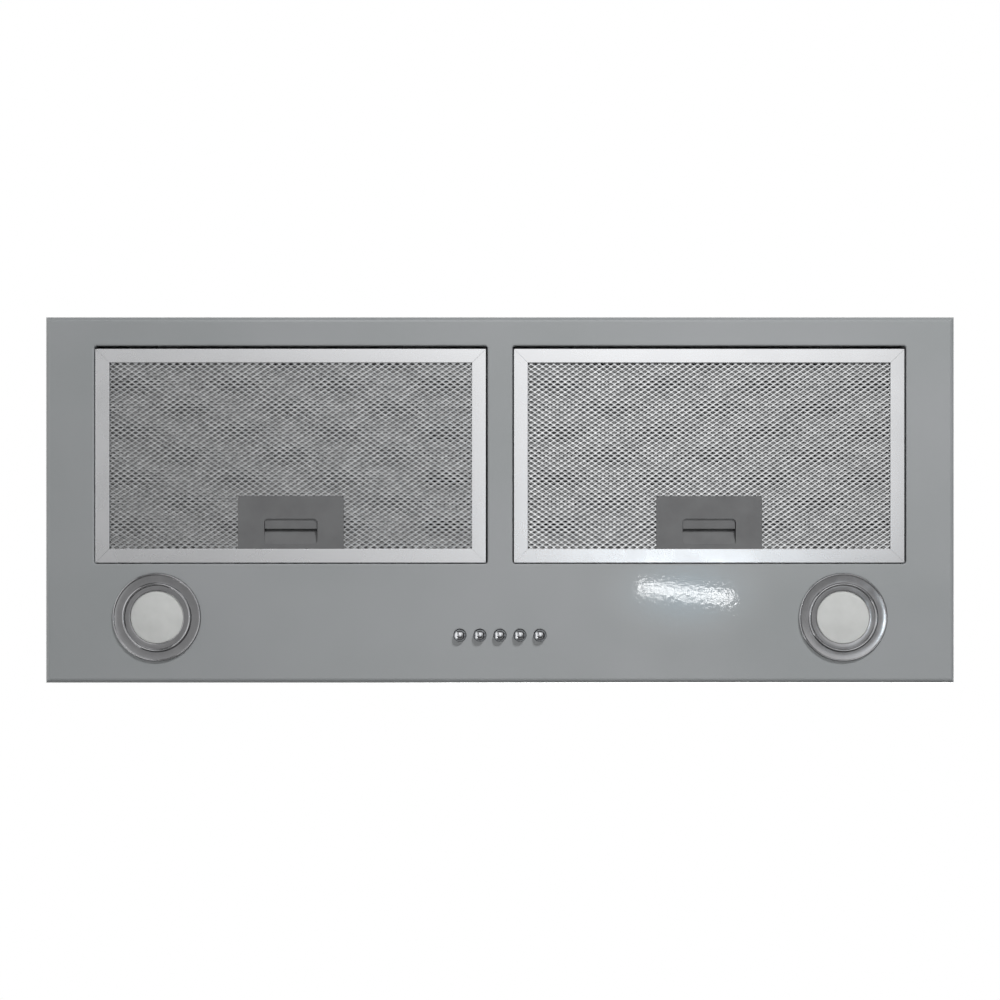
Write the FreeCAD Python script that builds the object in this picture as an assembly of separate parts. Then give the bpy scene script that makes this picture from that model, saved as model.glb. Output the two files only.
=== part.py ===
import FreeCAD, Part
import math
import os
from FreeCAD import Vector

# Built-in cooker hood that hangs in the floor of a wall cabinet. All that shows from the kitchen is a
# painted steel fascia with two lift-out grease filters, two round lamps and five push buttons. A folded
# casing above it holds a double-inlet blower, which blows up through a round collar with draught flaps.
#
# Millimetres, +Z up. The front, with the buttons, faces -Y. The origin is the middle of the fascia's
# folded rim, in the plane where the rim meets the underside of the cabinet.

# Fascia: a shallow painted tray with a returned rim
panel_length = 700.0
panel_width = 282.0
panel_depth = 10.0
panel_sheet = 0.8
panel_bend = 4.0
rim_width = 9.0
window_end_margin = 37.7
window_rear_margin = 22.4
window_divider = 19.4
window_lip_gap = 0.3  # from the lip's edge to what the filter lays over it
window_corner = 2.0
window_bend_share = 1.5  # of the sheet's thickness

# Casing: a top sheet on four folded walls
casing_end_margin = 18.0
casing_side_margin = 13.0
casing_sheet = 0.8
flange_gap = 1.0  # from a flange's edge to the start of the fascia's bend
casing_bend_share = 1.5  # of the sheet's thickness
rivet_flange = 12.0
corner_relief = 1.0  # between flanges that meet at a corner
wall_hole_radius = 2.5
wall_hole_inset = 33.0
wall_hole_height = 38.0

# Sprung side clips that hold the casing in the cut-out
clip_width = 24.0
clip_sheet = 0.8
clip_reach = 7.6
clip_height = 56.0
clip_bottom = 14.0
clip_foot = 14.0
clip_lead_share = 0.62  # of the clip's height, where it stands out most
clip_inset = 80.0

# Grease filters: mitred channel round a pack of meshes
filter_side_gap = 1.0
filter_front_gap = 0.6
filter_rear_gap = 2.2
bar_width = 10.9
bar_depth = 9.0
bar_wall = 1.0
mesh_sheet = 1.0
mesh_edge_gap = 0.3
mitre_gap = 0.1
mesh_seam = 0.1  # between the strips of a sheet
mesh_columns = 11
mesh_rows = 7
mesh_strand = 3.4
back_columns = 7
back_rows = 4
hook_width = 18.0
hook_sheet = 0.8
hook_root = 9.0
hook_wall_gap = 0.5
hook_lift = 2.0
hook_inset = 55.3

# Filter latch: a moulded housing with a finger scoop, its slide and spring
latch_length = 81.4
latch_width = 40.6
latch_corner = 2.7
latch_wall = 1.6
latch_skin = 1.0
latch_set_back = 0.4
recess_length = 41.0
recess_width = 19.8
recess_margin = 3.3
recess_corner = 3.0
scoop_length = 10.6
scoop_sill = 0.6
scoop_depth = 4.2
pad_front_gap = 1.4
pad_thickness = 1.5
pad_overlap = 0.8
slide_gap = 0.3
slide_thickness = 2.0
slide_half_width = 12.0
stem_half_width = 6.0
stem_length = 5.0
tongue_half_width = 10.0
tongue_grip = 3.3
tongue_bevel = 1.2
latch_travel = 5.0
tunnel_inset = 2.6
spring_radius = 1.1
spring_wire = 0.4

# Push buttons and the switch bank behind them
button_count = 5
button_pitch = 15.4
button_front = 37.0  # button line from the fascia's front edge
button_radius = 4.5
button_stand_out = 6.0
button_dome = 3.0
button_skirt = 4.0  # part of the cap behind the visible face
button_hole_gap = 0.5
button_travel = 3.0
plunger_radius = 2.2
plunger_length = 12.0
plunger_gap = 0.05
switch_end_wall = 7.3
switch_side_wall = 3.6
switch_top_wall = 1.5
switch_well_gap = 0.4
switch_well_spare = 0.5
switch_tag_length = 6.0
switch_tag_width = 4.8
switch_tag_sheet = 0.8
bracket_sheet = 1.0
bracket_width = 10.0
bracket_foot = 9.0

# Lamps: a bright ring, a frosted glass, a cup and a capsule bulb
lamp_end_margin = 86.2
lamp_edge_gap = 16.8  # ring to the fascia's front edge
lamp_window_gap = 7.2
lamp_hole_gap = 0.5
ring_radius = 34.0
ring_overlap = 5.0
ring_face_width = 13.8
ring_height = 2.2
ring_bevel = 1.2
ridge_inset = 8.0
ridge_half_width = 1.1
ridge_height = 3.3
sleeve_wall = 1.0
sleeve_length = 8.0
aperture_height = 1.2
glass_edge_gap = 0.6
glass_flange = 1.6
glass_bulge = 1.5
glass_gap = 0.3
cup_gap = 0.4
cup_wall = 0.9
cup_height = 28.0
bulb_radius = 4.5
bulb_length = 13.0
bulb_tip = 2.5
bulb_base_length = 12.0
bulb_base_width = 8.0
bulb_base_height = 9.0

# Outlet collar with its two draught flaps
duct_radius = 59.5
duct_wall = 2.0
duct_height = 44.0
duct_chamfer = 0.8
collar_side_margin = 7.5
collar_screw_edge = 8.5
collar_base_corner = 9.0
collar_base_sheet = 3.0
ledge_width = 3.5
ledge_height = 1.8
ledge_above_base = 2.0
flap_sheet = 1.2
flap_edge_gap = 0.7
flap_rest_gap = 0.3
pin_radius = 1.5
pin_gap = 0.05
knuckle_wall = 1.25
knuckle_length = 18.0
knuckle_gap = 1.0
knuckle_pairs = 2

# Blower: a scroll of a wrap and two cheeks, round a double-inlet wheel on a motor
scroll_inset = 1.5  # from the duct's outside to the scroll's cheek
scroll_wall = 2.0
scroll_bottom = 8.0
scroll_front_gap = 9.7
scroll_headroom = 11.2
scroll_clearance = 9.5  # from the wheel to the wall of its first quarter
scroll_step = 8.0  # growth of each quarter
tongue_offset = 25.0  # outlet's near wall from the wheel's axis
tongue_round = 3.0
seam_rim = 3.0
inlet_inset = 3.0  # inlet inside the blades
inlet_lip = 1.8
inlet_lip_depth = 5.0
lug_length = 13.0
lug_width = 14.0
lug_thickness = 3.2
lug_inset = 0.5
wheel_radius = 60.0
wheel_rim = 0.5
wheel_side_gap = 9.0
wheel_ring = 2.0
wheel_web = 2.0
blade_count = 24
blade_depth = 11.0
blade_thickness = 0.9
blade_lead = 9.0  # degrees by which a blade's tip leads its root
blade_sag_share = 0.22  # of the lead, at mid blade
hub_radius = 9.0
hub_length = 15.0
shaft_radius = 3.0
shaft_gap = 0.05
nut_radius = 5.5
nut_length = 5.0
motor_blade_gap = 11.0
motor_web_gap = 7.0
motor_wall = 1.5
stator_depth = 15.1
stator_end_room = 13.0
air_gap = 0.4
winding_length = 7.0
winding_margin = 3.1
winding_inset = 2.4
bearing_radius = 8.0
bearing_length = 6.0
bearing_boss = 2.4
spider_sheet = 2.0
spider_bore = 12.0
spider_ring_inset = 8.0
spider_arm_width = 13.0
spider_arms = 3
spider_screw_inset = 4.5
spider_end = 4.0

# Holes for the pan-head screws of the collar and the motor bracket
screw_radius = 1.7
screw_hole_gap = 0.3

# Electrical parts in the casing
capacitor_radius = 14.0
capacitor_length = 46.0
capacitor_inset = 117.0
capacitor_front = 33.0
stud_radius = 4.0
stud_length = 9.0
stud_gap = 0.2
terminal_length = 78.0
terminal_width = 42.0
terminal_height = 30.0
terminal_wall = 2.0
terminal_inset = 117.0
terminal_headroom = 24.2
terminal_lid_height = 2.5
terminal_lid_plug = 3.0
terminal_lid_gap = 0.2
terminal_slot_width = 16.0
bushing_front = 30.0
bushing_radius = 8.0
bushing_hole_gap = 0.2
bushing_flange = 11.0
bushing_flange_height = 3.0
bushing_inner_flange = 2.5
bushing_neck = 9.0
cable_radius = 3.8

# Cuts run this far past what they cut
overrun = 1.0

# Places worked out from the sizes
face_z = -panel_depth
inner_face_z = face_z + panel_sheet
front_edge = -panel_width / 2
lamp_x = panel_length / 2 - lamp_end_margin
lamp_y = front_edge + lamp_edge_gap + ring_radius
window_front_margin = lamp_edge_gap + 2 * ring_radius + lamp_window_gap
window_length = (panel_length - window_divider) / 2 - window_end_margin
window_width = panel_width - window_front_margin - window_rear_margin
window_spacing = window_length + window_divider
window_y = panel_width / 2 - window_rear_margin - window_width / 2
window_lip = bar_depth - window_lip_gap
filter_length = window_length - 2 * filter_side_gap
filter_width = window_width - filter_front_gap - filter_rear_gap
filter_front = window_y - window_width / 2 + filter_front_gap
filter_rear = filter_front + filter_width
filter_y = filter_front + filter_width / 2
bar_back_z = face_z + bar_depth
casing_length = panel_length - 2 * casing_end_margin
casing_width = panel_width - 2 * casing_side_margin
casing_flange = casing_side_margin - panel_bend - flange_gap
hook_tip = casing_width / 2 - casing_sheet - hook_wall_gap
wheel_inner_radius = wheel_radius - blade_depth
scroll_radius = wheel_radius + wheel_rim + scroll_clearance + scroll_wall
scroll_half = duct_radius - scroll_inset
wheel_half = scroll_half - scroll_wall - wheel_side_gap
outlet_width = scroll_radius + scroll_step * 2.5 - tongue_offset
scroll_front = -casing_width / 2 + casing_sheet + scroll_front_gap + seam_rim
wheel_y = scroll_front + scroll_radius + scroll_step / 2
wheel_z = scroll_bottom + scroll_radius + scroll_step * 1.5
casing_inner_top = wheel_z - scroll_step / 2 + scroll_radius + seam_rim + scroll_headroom
casing_top = casing_inner_top + casing_sheet
collar_y = wheel_y + tongue_offset + outlet_width / 2
collar_screw_x = scroll_half + lug_length / 2
screw_spacing_y = outlet_width - lug_width - 2 * lug_inset
collar_base_length = 2 * (collar_screw_x + collar_screw_edge)
collar_base_width = 2 * (duct_radius + collar_side_margin)
collar_z = casing_top + collar_base_sheet
ledge_top = collar_z + ledge_above_base + ledge_height
pin_z = ledge_top + flap_rest_gap + flap_sheet / 2
latch_y = filter_front + bar_width
latch_front_z = face_z + latch_set_back
recess_y = (latch_y + recess_margin, latch_y + recess_margin + recess_width)
scoop_end = recess_y[0] + scoop_length
pad_y = (scoop_end + pad_front_gap, recess_y[1] + pad_overlap)
pad_z = latch_front_z + latch_skin + slide_gap
stem_y = (pad_y[0], pad_y[0] + stem_length)
slide_z = bar_back_z + slide_gap
slide_rear = stem_y[1] + stem_length / 2
tunnel_top = slide_z + slide_thickness + slide_gap
spring_end = latch_y + latch_width - tunnel_inset - latch_wall
spring_z = slide_z + slide_thickness / 2
button_y = front_edge + button_front
well_radius = button_radius + switch_well_gap
switch_length = (button_count - 1) * button_pitch + 2 * (well_radius + switch_end_wall)
switch_width = 2 * (well_radius + switch_side_wall)
well_top = inner_face_z + button_skirt + button_travel + switch_well_spare
bore_top = well_top + plunger_length
switch_top = bore_top + switch_top_wall
sleeve_radius = ring_radius - ring_overlap
aperture_radius = ring_radius - ring_face_width
ridge_radius = ring_radius - ridge_inset
lamp_hole_radius = sleeve_radius + lamp_hole_gap
glass_radius = sleeve_radius - sleeve_wall - glass_edge_gap
cup_radius = sleeve_radius - sleeve_wall - cup_gap
inlet_radius = wheel_inner_radius - inlet_inset
motor_radius = wheel_inner_radius - motor_blade_gap
motor_length = scroll_half - wheel_web / 2 - motor_web_gap
stator_length = motor_length - 2 * stator_end_room
rotor_radius = motor_radius - motor_wall - stator_depth - air_gap
spider_screw_radius = inlet_radius + spider_screw_inset
spider_reach = spider_screw_radius + spider_end
spider_ring = motor_radius - spider_ring_inset
motor_rear = -scroll_half
motor_middle = motor_rear + motor_length / 2
motor_front = motor_rear + motor_length
shaft_start = motor_rear + motor_wall
hub_end = wheel_web / 2 + hub_length
capacitor_x = casing_length / 2 - capacitor_inset
capacitor_y = capacitor_front - casing_width / 2
terminal_x = terminal_inset - casing_length / 2
terminal_y = casing_sheet + (terminal_width - casing_width) / 2
terminal_top = casing_inner_top - terminal_headroom
terminal_bottom = terminal_top - terminal_height
bushing_y = bushing_front - casing_width / 2
same_place = panel_sheet / 1000
X_AXIS = Vector(1, 0, 0)
Y_AXIS = Vector(0, 1, 0)
Z_AXIS = Vector(0, 0, 1)
SIDES = {"left": -1, "right": 1}


def block(x_span, y_span, z_span):
    """A box between two places along each axis."""
    low = Vector(min(x_span), min(y_span), min(z_span))
    high = Vector(max(x_span), max(y_span), max(z_span))
    size = high - low
    return Part.makeBox(size.x, size.y, size.z, low)


def centred(middle, length):
    """The span of that length about a middle."""
    return (middle - length / 2, middle + length / 2)


def rod(radius, start, length, axis=Z_AXIS):
    return Part.makeCylinder(radius, length, start, axis)


def pipe(outer, inner, start, length, axis=Z_AXIS):
    """A tube whose bore runs clean through it."""
    bore = rod(inner, start - axis * overrun, length + 2 * overrun, axis)
    return rod(outer, start, length, axis).cut(bore)


def edges_at(shape, test):
    """The edges whose every end and middle pass a test on a point."""
    chosen = []
    for edge in shape.Edges:
        middle = edge.valueAt((edge.FirstParameter + edge.LastParameter) / 2)
        if all(test(point) for point in [middle] + [v.Point for v in edge.Vertexes]):
            chosen.append(edge)
    return chosen


def near(a, b):
    """True for two places that are the same but for rounding."""
    return abs(a - b) < same_place


def rounded_plate(size, corner, z_span, centre):
    """A rectangular plate with four round corners, about a centre in plan."""
    plate = block(centred(centre[0], size[0]), centred(centre[1], size[1]), z_span)
    upright = [edge for edge in plate.Edges if near(edge.BoundBox.ZLength, z_span[1] - z_span[0])]
    return plate.makeFillet(corner, upright)


def extruded(outline, direction):
    """The solid swept by a closed outline of edges or points."""
    if isinstance(outline[0], Vector):
        wire = Part.makePolygon(outline + outline[:1])
    else:
        wire = Part.Wire(Part.__sortEdges__(outline))
    return Part.Face(wire).extrude(direction)


def line(start, end):
    return Part.LineSegment(start, end).toShape()


def arc(start, middle, end):
    return Part.Arc(start, middle, end).toShape()


def turned(edges, centre):
    """A solid turned about the upright axis through centre, from a profile in the XZ plane."""
    face = Part.Face(Part.Wire(Part.__sortEdges__(edges)))
    solid = face.revolve(Vector(0, 0, 0), Z_AXIS, 360)
    solid.translate(centre)
    return solid


def fascia_panel():
    """The painted tray: folded edges, a returned rim, and turned-up lips round both filter windows."""
    tray = block(centred(0, panel_length), centred(0, panel_width), (face_z, 0))
    tray = tray.makeFillet(panel_bend, edges_at(tray, lambda p: near(p.z, face_z)))
    cavity = block(
        centred(0, panel_length - 2 * panel_sheet),
        centred(0, panel_width - 2 * panel_sheet),
        (inner_face_z, -panel_sheet),
    )
    inner_bend = panel_bend - panel_sheet
    cavity = cavity.makeFillet(inner_bend, edges_at(cavity, lambda p: near(p.z, inner_face_z)))
    mouth = block(
        centred(0, panel_length - 2 * rim_width),
        centred(0, panel_width - 2 * rim_width),
        (-2 * panel_sheet, overrun),
    )
    panel = tray.cut(cavity).cut(mouth)
    for side in SIDES.values():
        x = side * window_spacing / 2
        outer = (window_length + 2 * panel_sheet, window_width + 2 * panel_sheet)
        lip_z = (face_z, face_z + window_lip)
        lip = rounded_plate(outer, window_corner + panel_sheet, lip_z, (x, window_y))
        cut = (face_z - overrun, face_z + window_lip + overrun)
        window = rounded_plate((window_length, window_width), window_corner, cut, (x, window_y))
        panel = panel.fuse(lip).cut(window)

    def on_window(point):
        beside = abs(abs(point.x) - window_spacing / 2) < window_length / 2 + panel_sheet
        level = abs(point.y - window_y) < window_width / 2 + panel_sheet
        return near(point.z, face_z) and beside and level

    panel = panel.removeSplitter()
    panel = panel.makeFillet(window_bend_share * panel_sheet, edges_at(panel, on_window))
    through = 2 * overrun + panel_sheet
    for side in SIDES.values():
        start = Vector(side * lamp_x, lamp_y, face_z - overrun)
        panel = panel.cut(rod(lamp_hole_radius, start, through))
    for x in button_places():
        start = Vector(x, button_y, face_z - overrun)
        panel = panel.cut(rod(button_radius + button_hole_gap, start, through))
    return panel


def button_places():
    return [(i - (button_count - 1) / 2) * button_pitch for i in range(button_count)]


def collar_screw_places():
    """The four screws that hold the collar and the scroll to the casing's top."""
    y = screw_spacing_y / 2
    return [(sx * collar_screw_x, collar_y + sy * y) for sx in (-1, 1) for sy in (-1, 1)]


def casing_shell():
    """The casing's top sheet, with the outlet's mouth and the holes for what hangs from it."""
    sheet = block(centred(0, casing_length), centred(0, casing_width), (casing_inner_top, casing_top))
    cut_z = (casing_inner_top - overrun, casing_top + overrun)
    mouth_y = (collar_y - outlet_width / 2 + scroll_wall, collar_y + outlet_width / 2 - scroll_wall)
    sheet = sheet.cut(block(centred(0, 2 * (scroll_half - scroll_wall)), mouth_y, cut_z))
    holes = [(x, y, screw_radius + screw_hole_gap) for x, y in collar_screw_places()]
    holes.append((capacitor_x, capacitor_y, stud_radius + stud_gap))
    holes.append((terminal_x, bushing_y, bushing_radius + bushing_hole_gap))
    for x, y, radius in holes:
        sheet = sheet.cut(rod(radius, Vector(x, y, cut_z[0]), casing_sheet + 2 * overrun))
    return sheet


def casing_wall(side):
    """The front or rear wall: a foot on the fascia and a flange under the top, folded from one sheet."""
    half = casing_width / 2
    foot = half + casing_flange
    inner = half - casing_sheet
    flange = inner - rivet_flange
    foot_top = inner_face_z + casing_sheet
    under_flange = casing_inner_top - casing_sheet
    section = [
        (foot, inner_face_z),
        (inner, inner_face_z),
        (inner, under_flange),
        (flange, under_flange),
        (flange, casing_inner_top),
        (half, casing_inner_top),
        (half, foot_top),
        (foot, foot_top),
    ]
    start = -casing_length / 2
    wall = extruded([Vector(start, side * y, z) for y, z in section], X_AXIS * casing_length)
    fold = edges_at(wall, lambda p: near(p.z, casing_inner_top) and near(abs(p.y), half))
    wall = wall.makeFillet(casing_bend_share * casing_sheet, fold)
    relief_y = (side * (flange - overrun), side * inner)
    relief_z = (under_flange - overrun, casing_inner_top + overrun)
    for end in (-1, 1):
        relief_end = casing_length / 2 - rivet_flange - corner_relief
        relief_x = (end * (casing_length / 2 + overrun), end * relief_end)
        wall = wall.cut(block(relief_x, relief_y, relief_z))
    return wall


def casing_end(side):
    """An end plate with rivet flanges on three sides, a foot on the fascia and two fixing holes."""
    outside = side * casing_length / 2
    inside = outside - side * casing_sheet
    half = casing_width / 2 - casing_sheet
    flange = (outside - side * rivet_flange, outside)
    plate = block(flange, (-half, half), (inner_face_z, casing_inner_top))
    hollow = block(
        (outside - side * (rivet_flange + overrun), inside),
        (-half + casing_sheet, half - casing_sheet),
        (inner_face_z - overrun, casing_inner_top - casing_sheet),
    )
    foot = (inner_face_z, inner_face_z + casing_sheet)
    plate = plate.cut(hollow).fuse(block((inside, outside + side * casing_flange), (-half, half), foot))
    for sign in (-1, 1):
        y = sign * (casing_width / 2 - wall_hole_inset)
        start = Vector(outside + side * overrun, y, wall_hole_height)
        plate = plate.cut(rod(wall_hole_radius, start, casing_sheet + 2 * overrun, X_AXIS * -side))
    return plate.removeSplitter()


def spring_clips():
    """Two bowed spring strips on each end plate, which grip the sides of the cut-out."""
    clips = []
    for side in SIDES.values():
        wall = side * casing_length / 2
        crest = clip_bottom + clip_foot + clip_height * clip_lead_share
        middle_line = [
            (0, clip_bottom),
            (0, clip_bottom + clip_foot),
            (clip_reach - clip_sheet, crest),
            (clip_sheet, clip_bottom + clip_foot + clip_height),
        ]
        for y in (clip_inset - casing_width / 2, casing_width / 2 - clip_inset):
            near_side = [Vector(wall + side * x, y - clip_width / 2, z) for x, z in middle_line]
            far_side = [point + X_AXIS * side * clip_sheet for point in reversed(near_side)]
            clips.append(extruded(near_side + far_side, Y_AXIS * clip_width))
    return clips


def filter_x(side):
    return side * window_spacing / 2


def filter_frame(side):
    """Four aluminium channels with mitred corners, open towards the mesh."""
    x = filter_x(side)
    clear = (face_z - overrun, bar_back_z + overrun)
    outer = block(centred(x, filter_length), (filter_front, filter_rear), (face_z, bar_back_z))
    middle_y = (filter_front + bar_width, filter_rear - bar_width)
    middle = block(centred(x, filter_length - 2 * bar_width), middle_y, clear)
    groove_y = (filter_front + bar_wall, filter_rear - bar_wall)
    groove_z = (face_z + bar_wall, bar_back_z - bar_wall)
    groove = block(centred(x, filter_length - 2 * bar_wall), groove_y, groove_z)
    ring = outer.cut(middle).cut(groove)
    half_x = filter_length / 2
    half_y = filter_width / 2
    ridge = half_x - half_y
    cut = mitre_gap / math.sqrt(2)
    front = [(cut - half_x, -half_y), (half_x - cut, -half_y), (ridge - cut, 0), (cut - ridge, 0)]
    end = [(half_x, cut - half_y), (half_x, half_y - cut), (ridge + cut, 0)]
    bars = []
    for outline in (front, end):
        for turn in (1, -1):
            points = [Vector(x + turn * px, filter_y + turn * py, clear[0]) for px, py in outline]
            bars.append(ring.common(extruded(points, Z_AXIS * (clear[1] - clear[0]))))
    return bars


def mesh_blank(side, low, high):
    """One layer of the filter's pack, with its edges in the channels, cut out round the latch housing."""
    x = filter_x(side)
    inset = bar_wall + mesh_edge_gap
    y_span = (filter_front + inset, filter_rear - inset)
    sheet = block(centred(x, filter_length - 2 * inset), y_span, (low, high))
    housing_y = (latch_y, latch_y + latch_width)
    return sheet.cut(block(centred(x, latch_length), housing_y, (low - overrun, high + overrun)))


def expanded_mesh(side, low, high, columns, rows):
    """Expanded metal with staggered diamond openings, in four strips laid round the latch housing."""
    x = filter_x(side)
    open_x = filter_length - 2 * bar_width
    open_y = filter_width - 2 * bar_width
    pitch_x = open_x / columns
    pitch_y = open_y / rows
    half_x = pitch_x / 2 - mesh_strand / 2 / math.sin(math.atan2(pitch_y, pitch_x))
    half_y = half_x * pitch_y / pitch_x
    housing_x = latch_length / 2 + half_x
    housing_y = latch_y + latch_width + half_y
    whole = []
    clipped = []
    for step in (0, 1):
        for i in range(columns - step):
            for j in range(rows - step):
                cx = x - open_x / 2 + (i + (1 + step) / 2) * pitch_x
                cy = filter_y - open_y / 2 + (j + (1 + step) / 2) * pitch_y
                corners = [(cx - half_x, cy), (cx, cy - half_y), (cx + half_x, cy), (cx, cy + half_y)]
                diamond = [Vector(px, py, low) for px, py in corners]
                beside_housing = abs(cx - x) < housing_x and cy < housing_y
                (clipped if beside_housing else whole).append(diamond)
    bottom = [face for face in mesh_blank(side, low, high).Faces if near(face.BoundBox.ZMax, low)][0]
    wires = bottom.Wires + [Part.makePolygon(diamond + diamond[:1]) for diamond in whole]
    sheet = Part.makeFace(wires, "Part::FaceMakerBullseye").extrude(Z_AXIS * (high - low))
    cuts = [extruded(diamond, Z_AXIS * (high - low)) for diamond in clipped]
    for end in (-1, 1):
        seam_x = (x + end * latch_length / 2, x + end * (latch_length / 2 - mesh_seam))
        cuts.append(block(seam_x, (filter_front, filter_rear), (low, high)))
    return sheet.cut(cuts).Solids


def filter_core(side):
    return mesh_blank(side, face_z + bar_wall + mesh_sheet, bar_back_z - bar_wall - mesh_sheet)


def filter_hooks(side):
    """Two sprung hooks on the frame's back, which lie over the lip behind the window."""
    hooks = []
    for sign in (-1, 1):
        x = filter_x(side) + sign * (filter_length / 2 - hook_inset)
        top = bar_back_z + hook_sheet
        flat = block(centred(x, hook_width), (filter_rear - hook_root, hook_tip), (bar_back_z, top))
        lift_y = (hook_tip - hook_sheet, hook_tip)
        lift = block(centred(x, hook_width), lift_y, (bar_back_z, top + hook_lift))
        hooks.append(flat.fuse(lift).removeSplitter())
    return hooks


def scoop_and_window(x):
    """What is cut from the housing's face: a ramp for the fingertip, then a window for the slide's pad."""
    deep = latch_front_z + scoop_depth
    outside = latch_front_z - overrun
    side_view = [
        (recess_y[0], outside),
        (recess_y[0], latch_front_z + scoop_sill),
        (scoop_end, deep),
        (scoop_end, latch_front_z + latch_skin),
        (recess_y[1], latch_front_z + latch_skin),
        (recess_y[1], outside),
    ]
    start = x - recess_length / 2
    cut = extruded([Vector(start, y, z) for y, z in side_view], X_AXIS * recess_length)
    centre = (x, sum(recess_y) / 2)
    return cut.common(rounded_plate((recess_length, recess_width), recess_corner, (outside, deep), centre))


def latch_housing(side):
    """The moulded plate with its finger scoop and slide window, and the slide's tunnel on its back."""
    x = filter_x(side)
    wall = latch_wall
    half = recess_length / 2
    outline_y = (latch_y, latch_y + latch_width)
    body = block(centred(x, latch_length), outline_y, (latch_front_z, bar_back_z))

    def rear_corner(p):
        return near(p.y, outline_y[1]) and near(abs(p.x - x), latch_length / 2)

    body = body.makeFillet(latch_corner, edges_at(body, rear_corner))
    room_y = (scoop_end, pad_y[1] + latch_travel + slide_gap)
    core_y = (outline_y[0], room_y[1] + wall)
    core = block((x - half - wall, x + half + wall), core_y, (latch_front_z, bar_back_z))
    hollow_y = (outline_y[0] + wall, outline_y[1] - wall)
    hollow_z = (latch_front_z + wall, bar_back_z + overrun)
    hollow = block(centred(x, latch_length - 2 * wall), hollow_y, hollow_z)
    body = body.cut(hollow.cut(core))
    room = block((x - half, x + half), room_y, (latch_front_z + latch_skin, bar_back_z - wall))
    body = body.cut([scoop_and_window(x), room])
    side_reach = slide_half_width + slide_gap
    tunnel_y = (stem_y[0], spring_end + wall)
    tunnel = block(centred(x, 2 * (side_reach + wall)), tunnel_y, (bar_back_z - wall, tunnel_top + wall))
    path = block(centred(x, 2 * side_reach), (stem_y[0] - overrun, spring_end), (bar_back_z, tunnel_top))
    slot_y = (stem_y[0] - slide_gap, stem_y[1] + latch_travel + slide_gap)
    slot_z = (bar_back_z - 2 * wall, bar_back_z + overrun)
    slot = block(centred(x, 2 * (stem_half_width + slide_gap)), slot_y, slot_z)
    return body.fuse(tunnel).cut([path, slot]).removeSplitter()


def latch_slide(side):
    """The finger pad with its push wall, the stem, and the tongue that lies over the front lip."""
    x = filter_x(side)
    half_pad = recess_length / 2 - slide_gap
    wall_top = bar_back_z - latch_wall - slide_gap
    pad = block((x - half_pad, x + half_pad), pad_y, (pad_z, pad_z + pad_thickness))
    push_y = (pad_y[0], pad_y[0] + pad_thickness)
    push_wall = block((x - half_pad, x + half_pad), push_y, (pad_z, wall_top))
    low, high = slide_z, slide_z + slide_thickness
    root = stem_y[0] - slide_gap
    tip = filter_front - filter_front_gap - tongue_grip
    stem = block(centred(x, 2 * stem_half_width), stem_y, (pad_z, low))
    plate = block(centred(x, 2 * slide_half_width), (root, slide_rear), (low, high))
    section = [(root, low), (tip + tongue_bevel, low), (tip, low + tongue_bevel), (tip, high), (root, high)]
    start = x - tongue_half_width
    tongue = extruded([Vector(start, y, z) for y, z in section], X_AXIS * 2 * tongue_half_width)
    return pad.fuse([push_wall, stem, plate, tongue]).removeSplitter()


def latch_spring(side):
    """The coil spring behind the slide, drawn as a sleeve because its housing hides it."""
    start = Vector(filter_x(side), slide_rear, spring_z)
    return pipe(spring_radius, spring_radius - spring_wire, start, spring_end - slide_rear, Y_AXIS)


def dome_middle(radius, height):
    """How far out and how far in a shallow dome's profile is half way along its arc."""
    sphere = (radius**2 + height**2) / (2 * height)
    half_angle = math.asin(radius / sphere) / 2
    return sphere * math.sin(half_angle), sphere * (1 - math.cos(half_angle))


def push_button(x):
    """A domed chrome cap on its plunger."""
    crown = face_z - button_stand_out
    out, depth = dome_middle(button_radius, button_dome)
    back = inner_face_z + button_skirt
    corners = [
        Vector(button_radius, 0, crown + button_dome),
        Vector(button_radius, 0, back),
        Vector(plunger_radius, 0, back),
        Vector(plunger_radius, 0, back + plunger_length),
        Vector(0, 0, back + plunger_length),
        Vector(0, 0, crown),
    ]
    profile = [arc(corners[-1], Vector(out, 0, crown + depth), corners[0])]
    profile += [line(a, b) for a, b in zip(corners, corners[1:])]
    return turned(profile, Vector(x, button_y, 0))


def switch_body():
    """The bank of five push switches on the back of the fascia, with its blade terminals."""
    body = block(centred(0, switch_length), centred(button_y, switch_width), (inner_face_z, switch_top))
    for x in button_places():
        start = Vector(x, button_y, inner_face_z - overrun)
        body = body.cut(rod(well_radius, start, well_top - start.z))
        body = body.cut(rod(plunger_radius + plunger_gap, start, bore_top - start.z))
    tags = []
    for x in button_places():
        for sign in (-1, 1):
            y = button_y + sign * (bracket_width + switch_width) / 4
            tag_z = (switch_top, switch_top + switch_tag_length)
            tags.append(block(centred(x, switch_tag_width), centred(y, switch_tag_sheet), tag_z))
    return body.fuse(tags)


def switch_bracket():
    """The folded strap that holds the switch bank down on the fascia."""
    sheet = bracket_sheet
    wall = switch_length / 2
    foot = wall + bracket_foot
    inside = [(-foot, inner_face_z), (-wall, inner_face_z), (-wall, switch_top), (0, switch_top)]
    outside = [(0, switch_top + sheet), (-wall - sheet, switch_top + sheet)]
    outside += [(-wall - sheet, inner_face_z + sheet), (-foot, inner_face_z + sheet)]
    half = inside + outside
    start = button_y - bracket_width / 2
    halves = []
    for side in SIDES.values():
        halves.append(extruded([Vector(-side * x, start, z) for x, z in half], Y_AXIS * bracket_width))
    return halves[0].fuse(halves[1]).removeSplitter()


def lamp_centre(side):
    return Vector(side * lamp_x, lamp_y, face_z)


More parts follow.
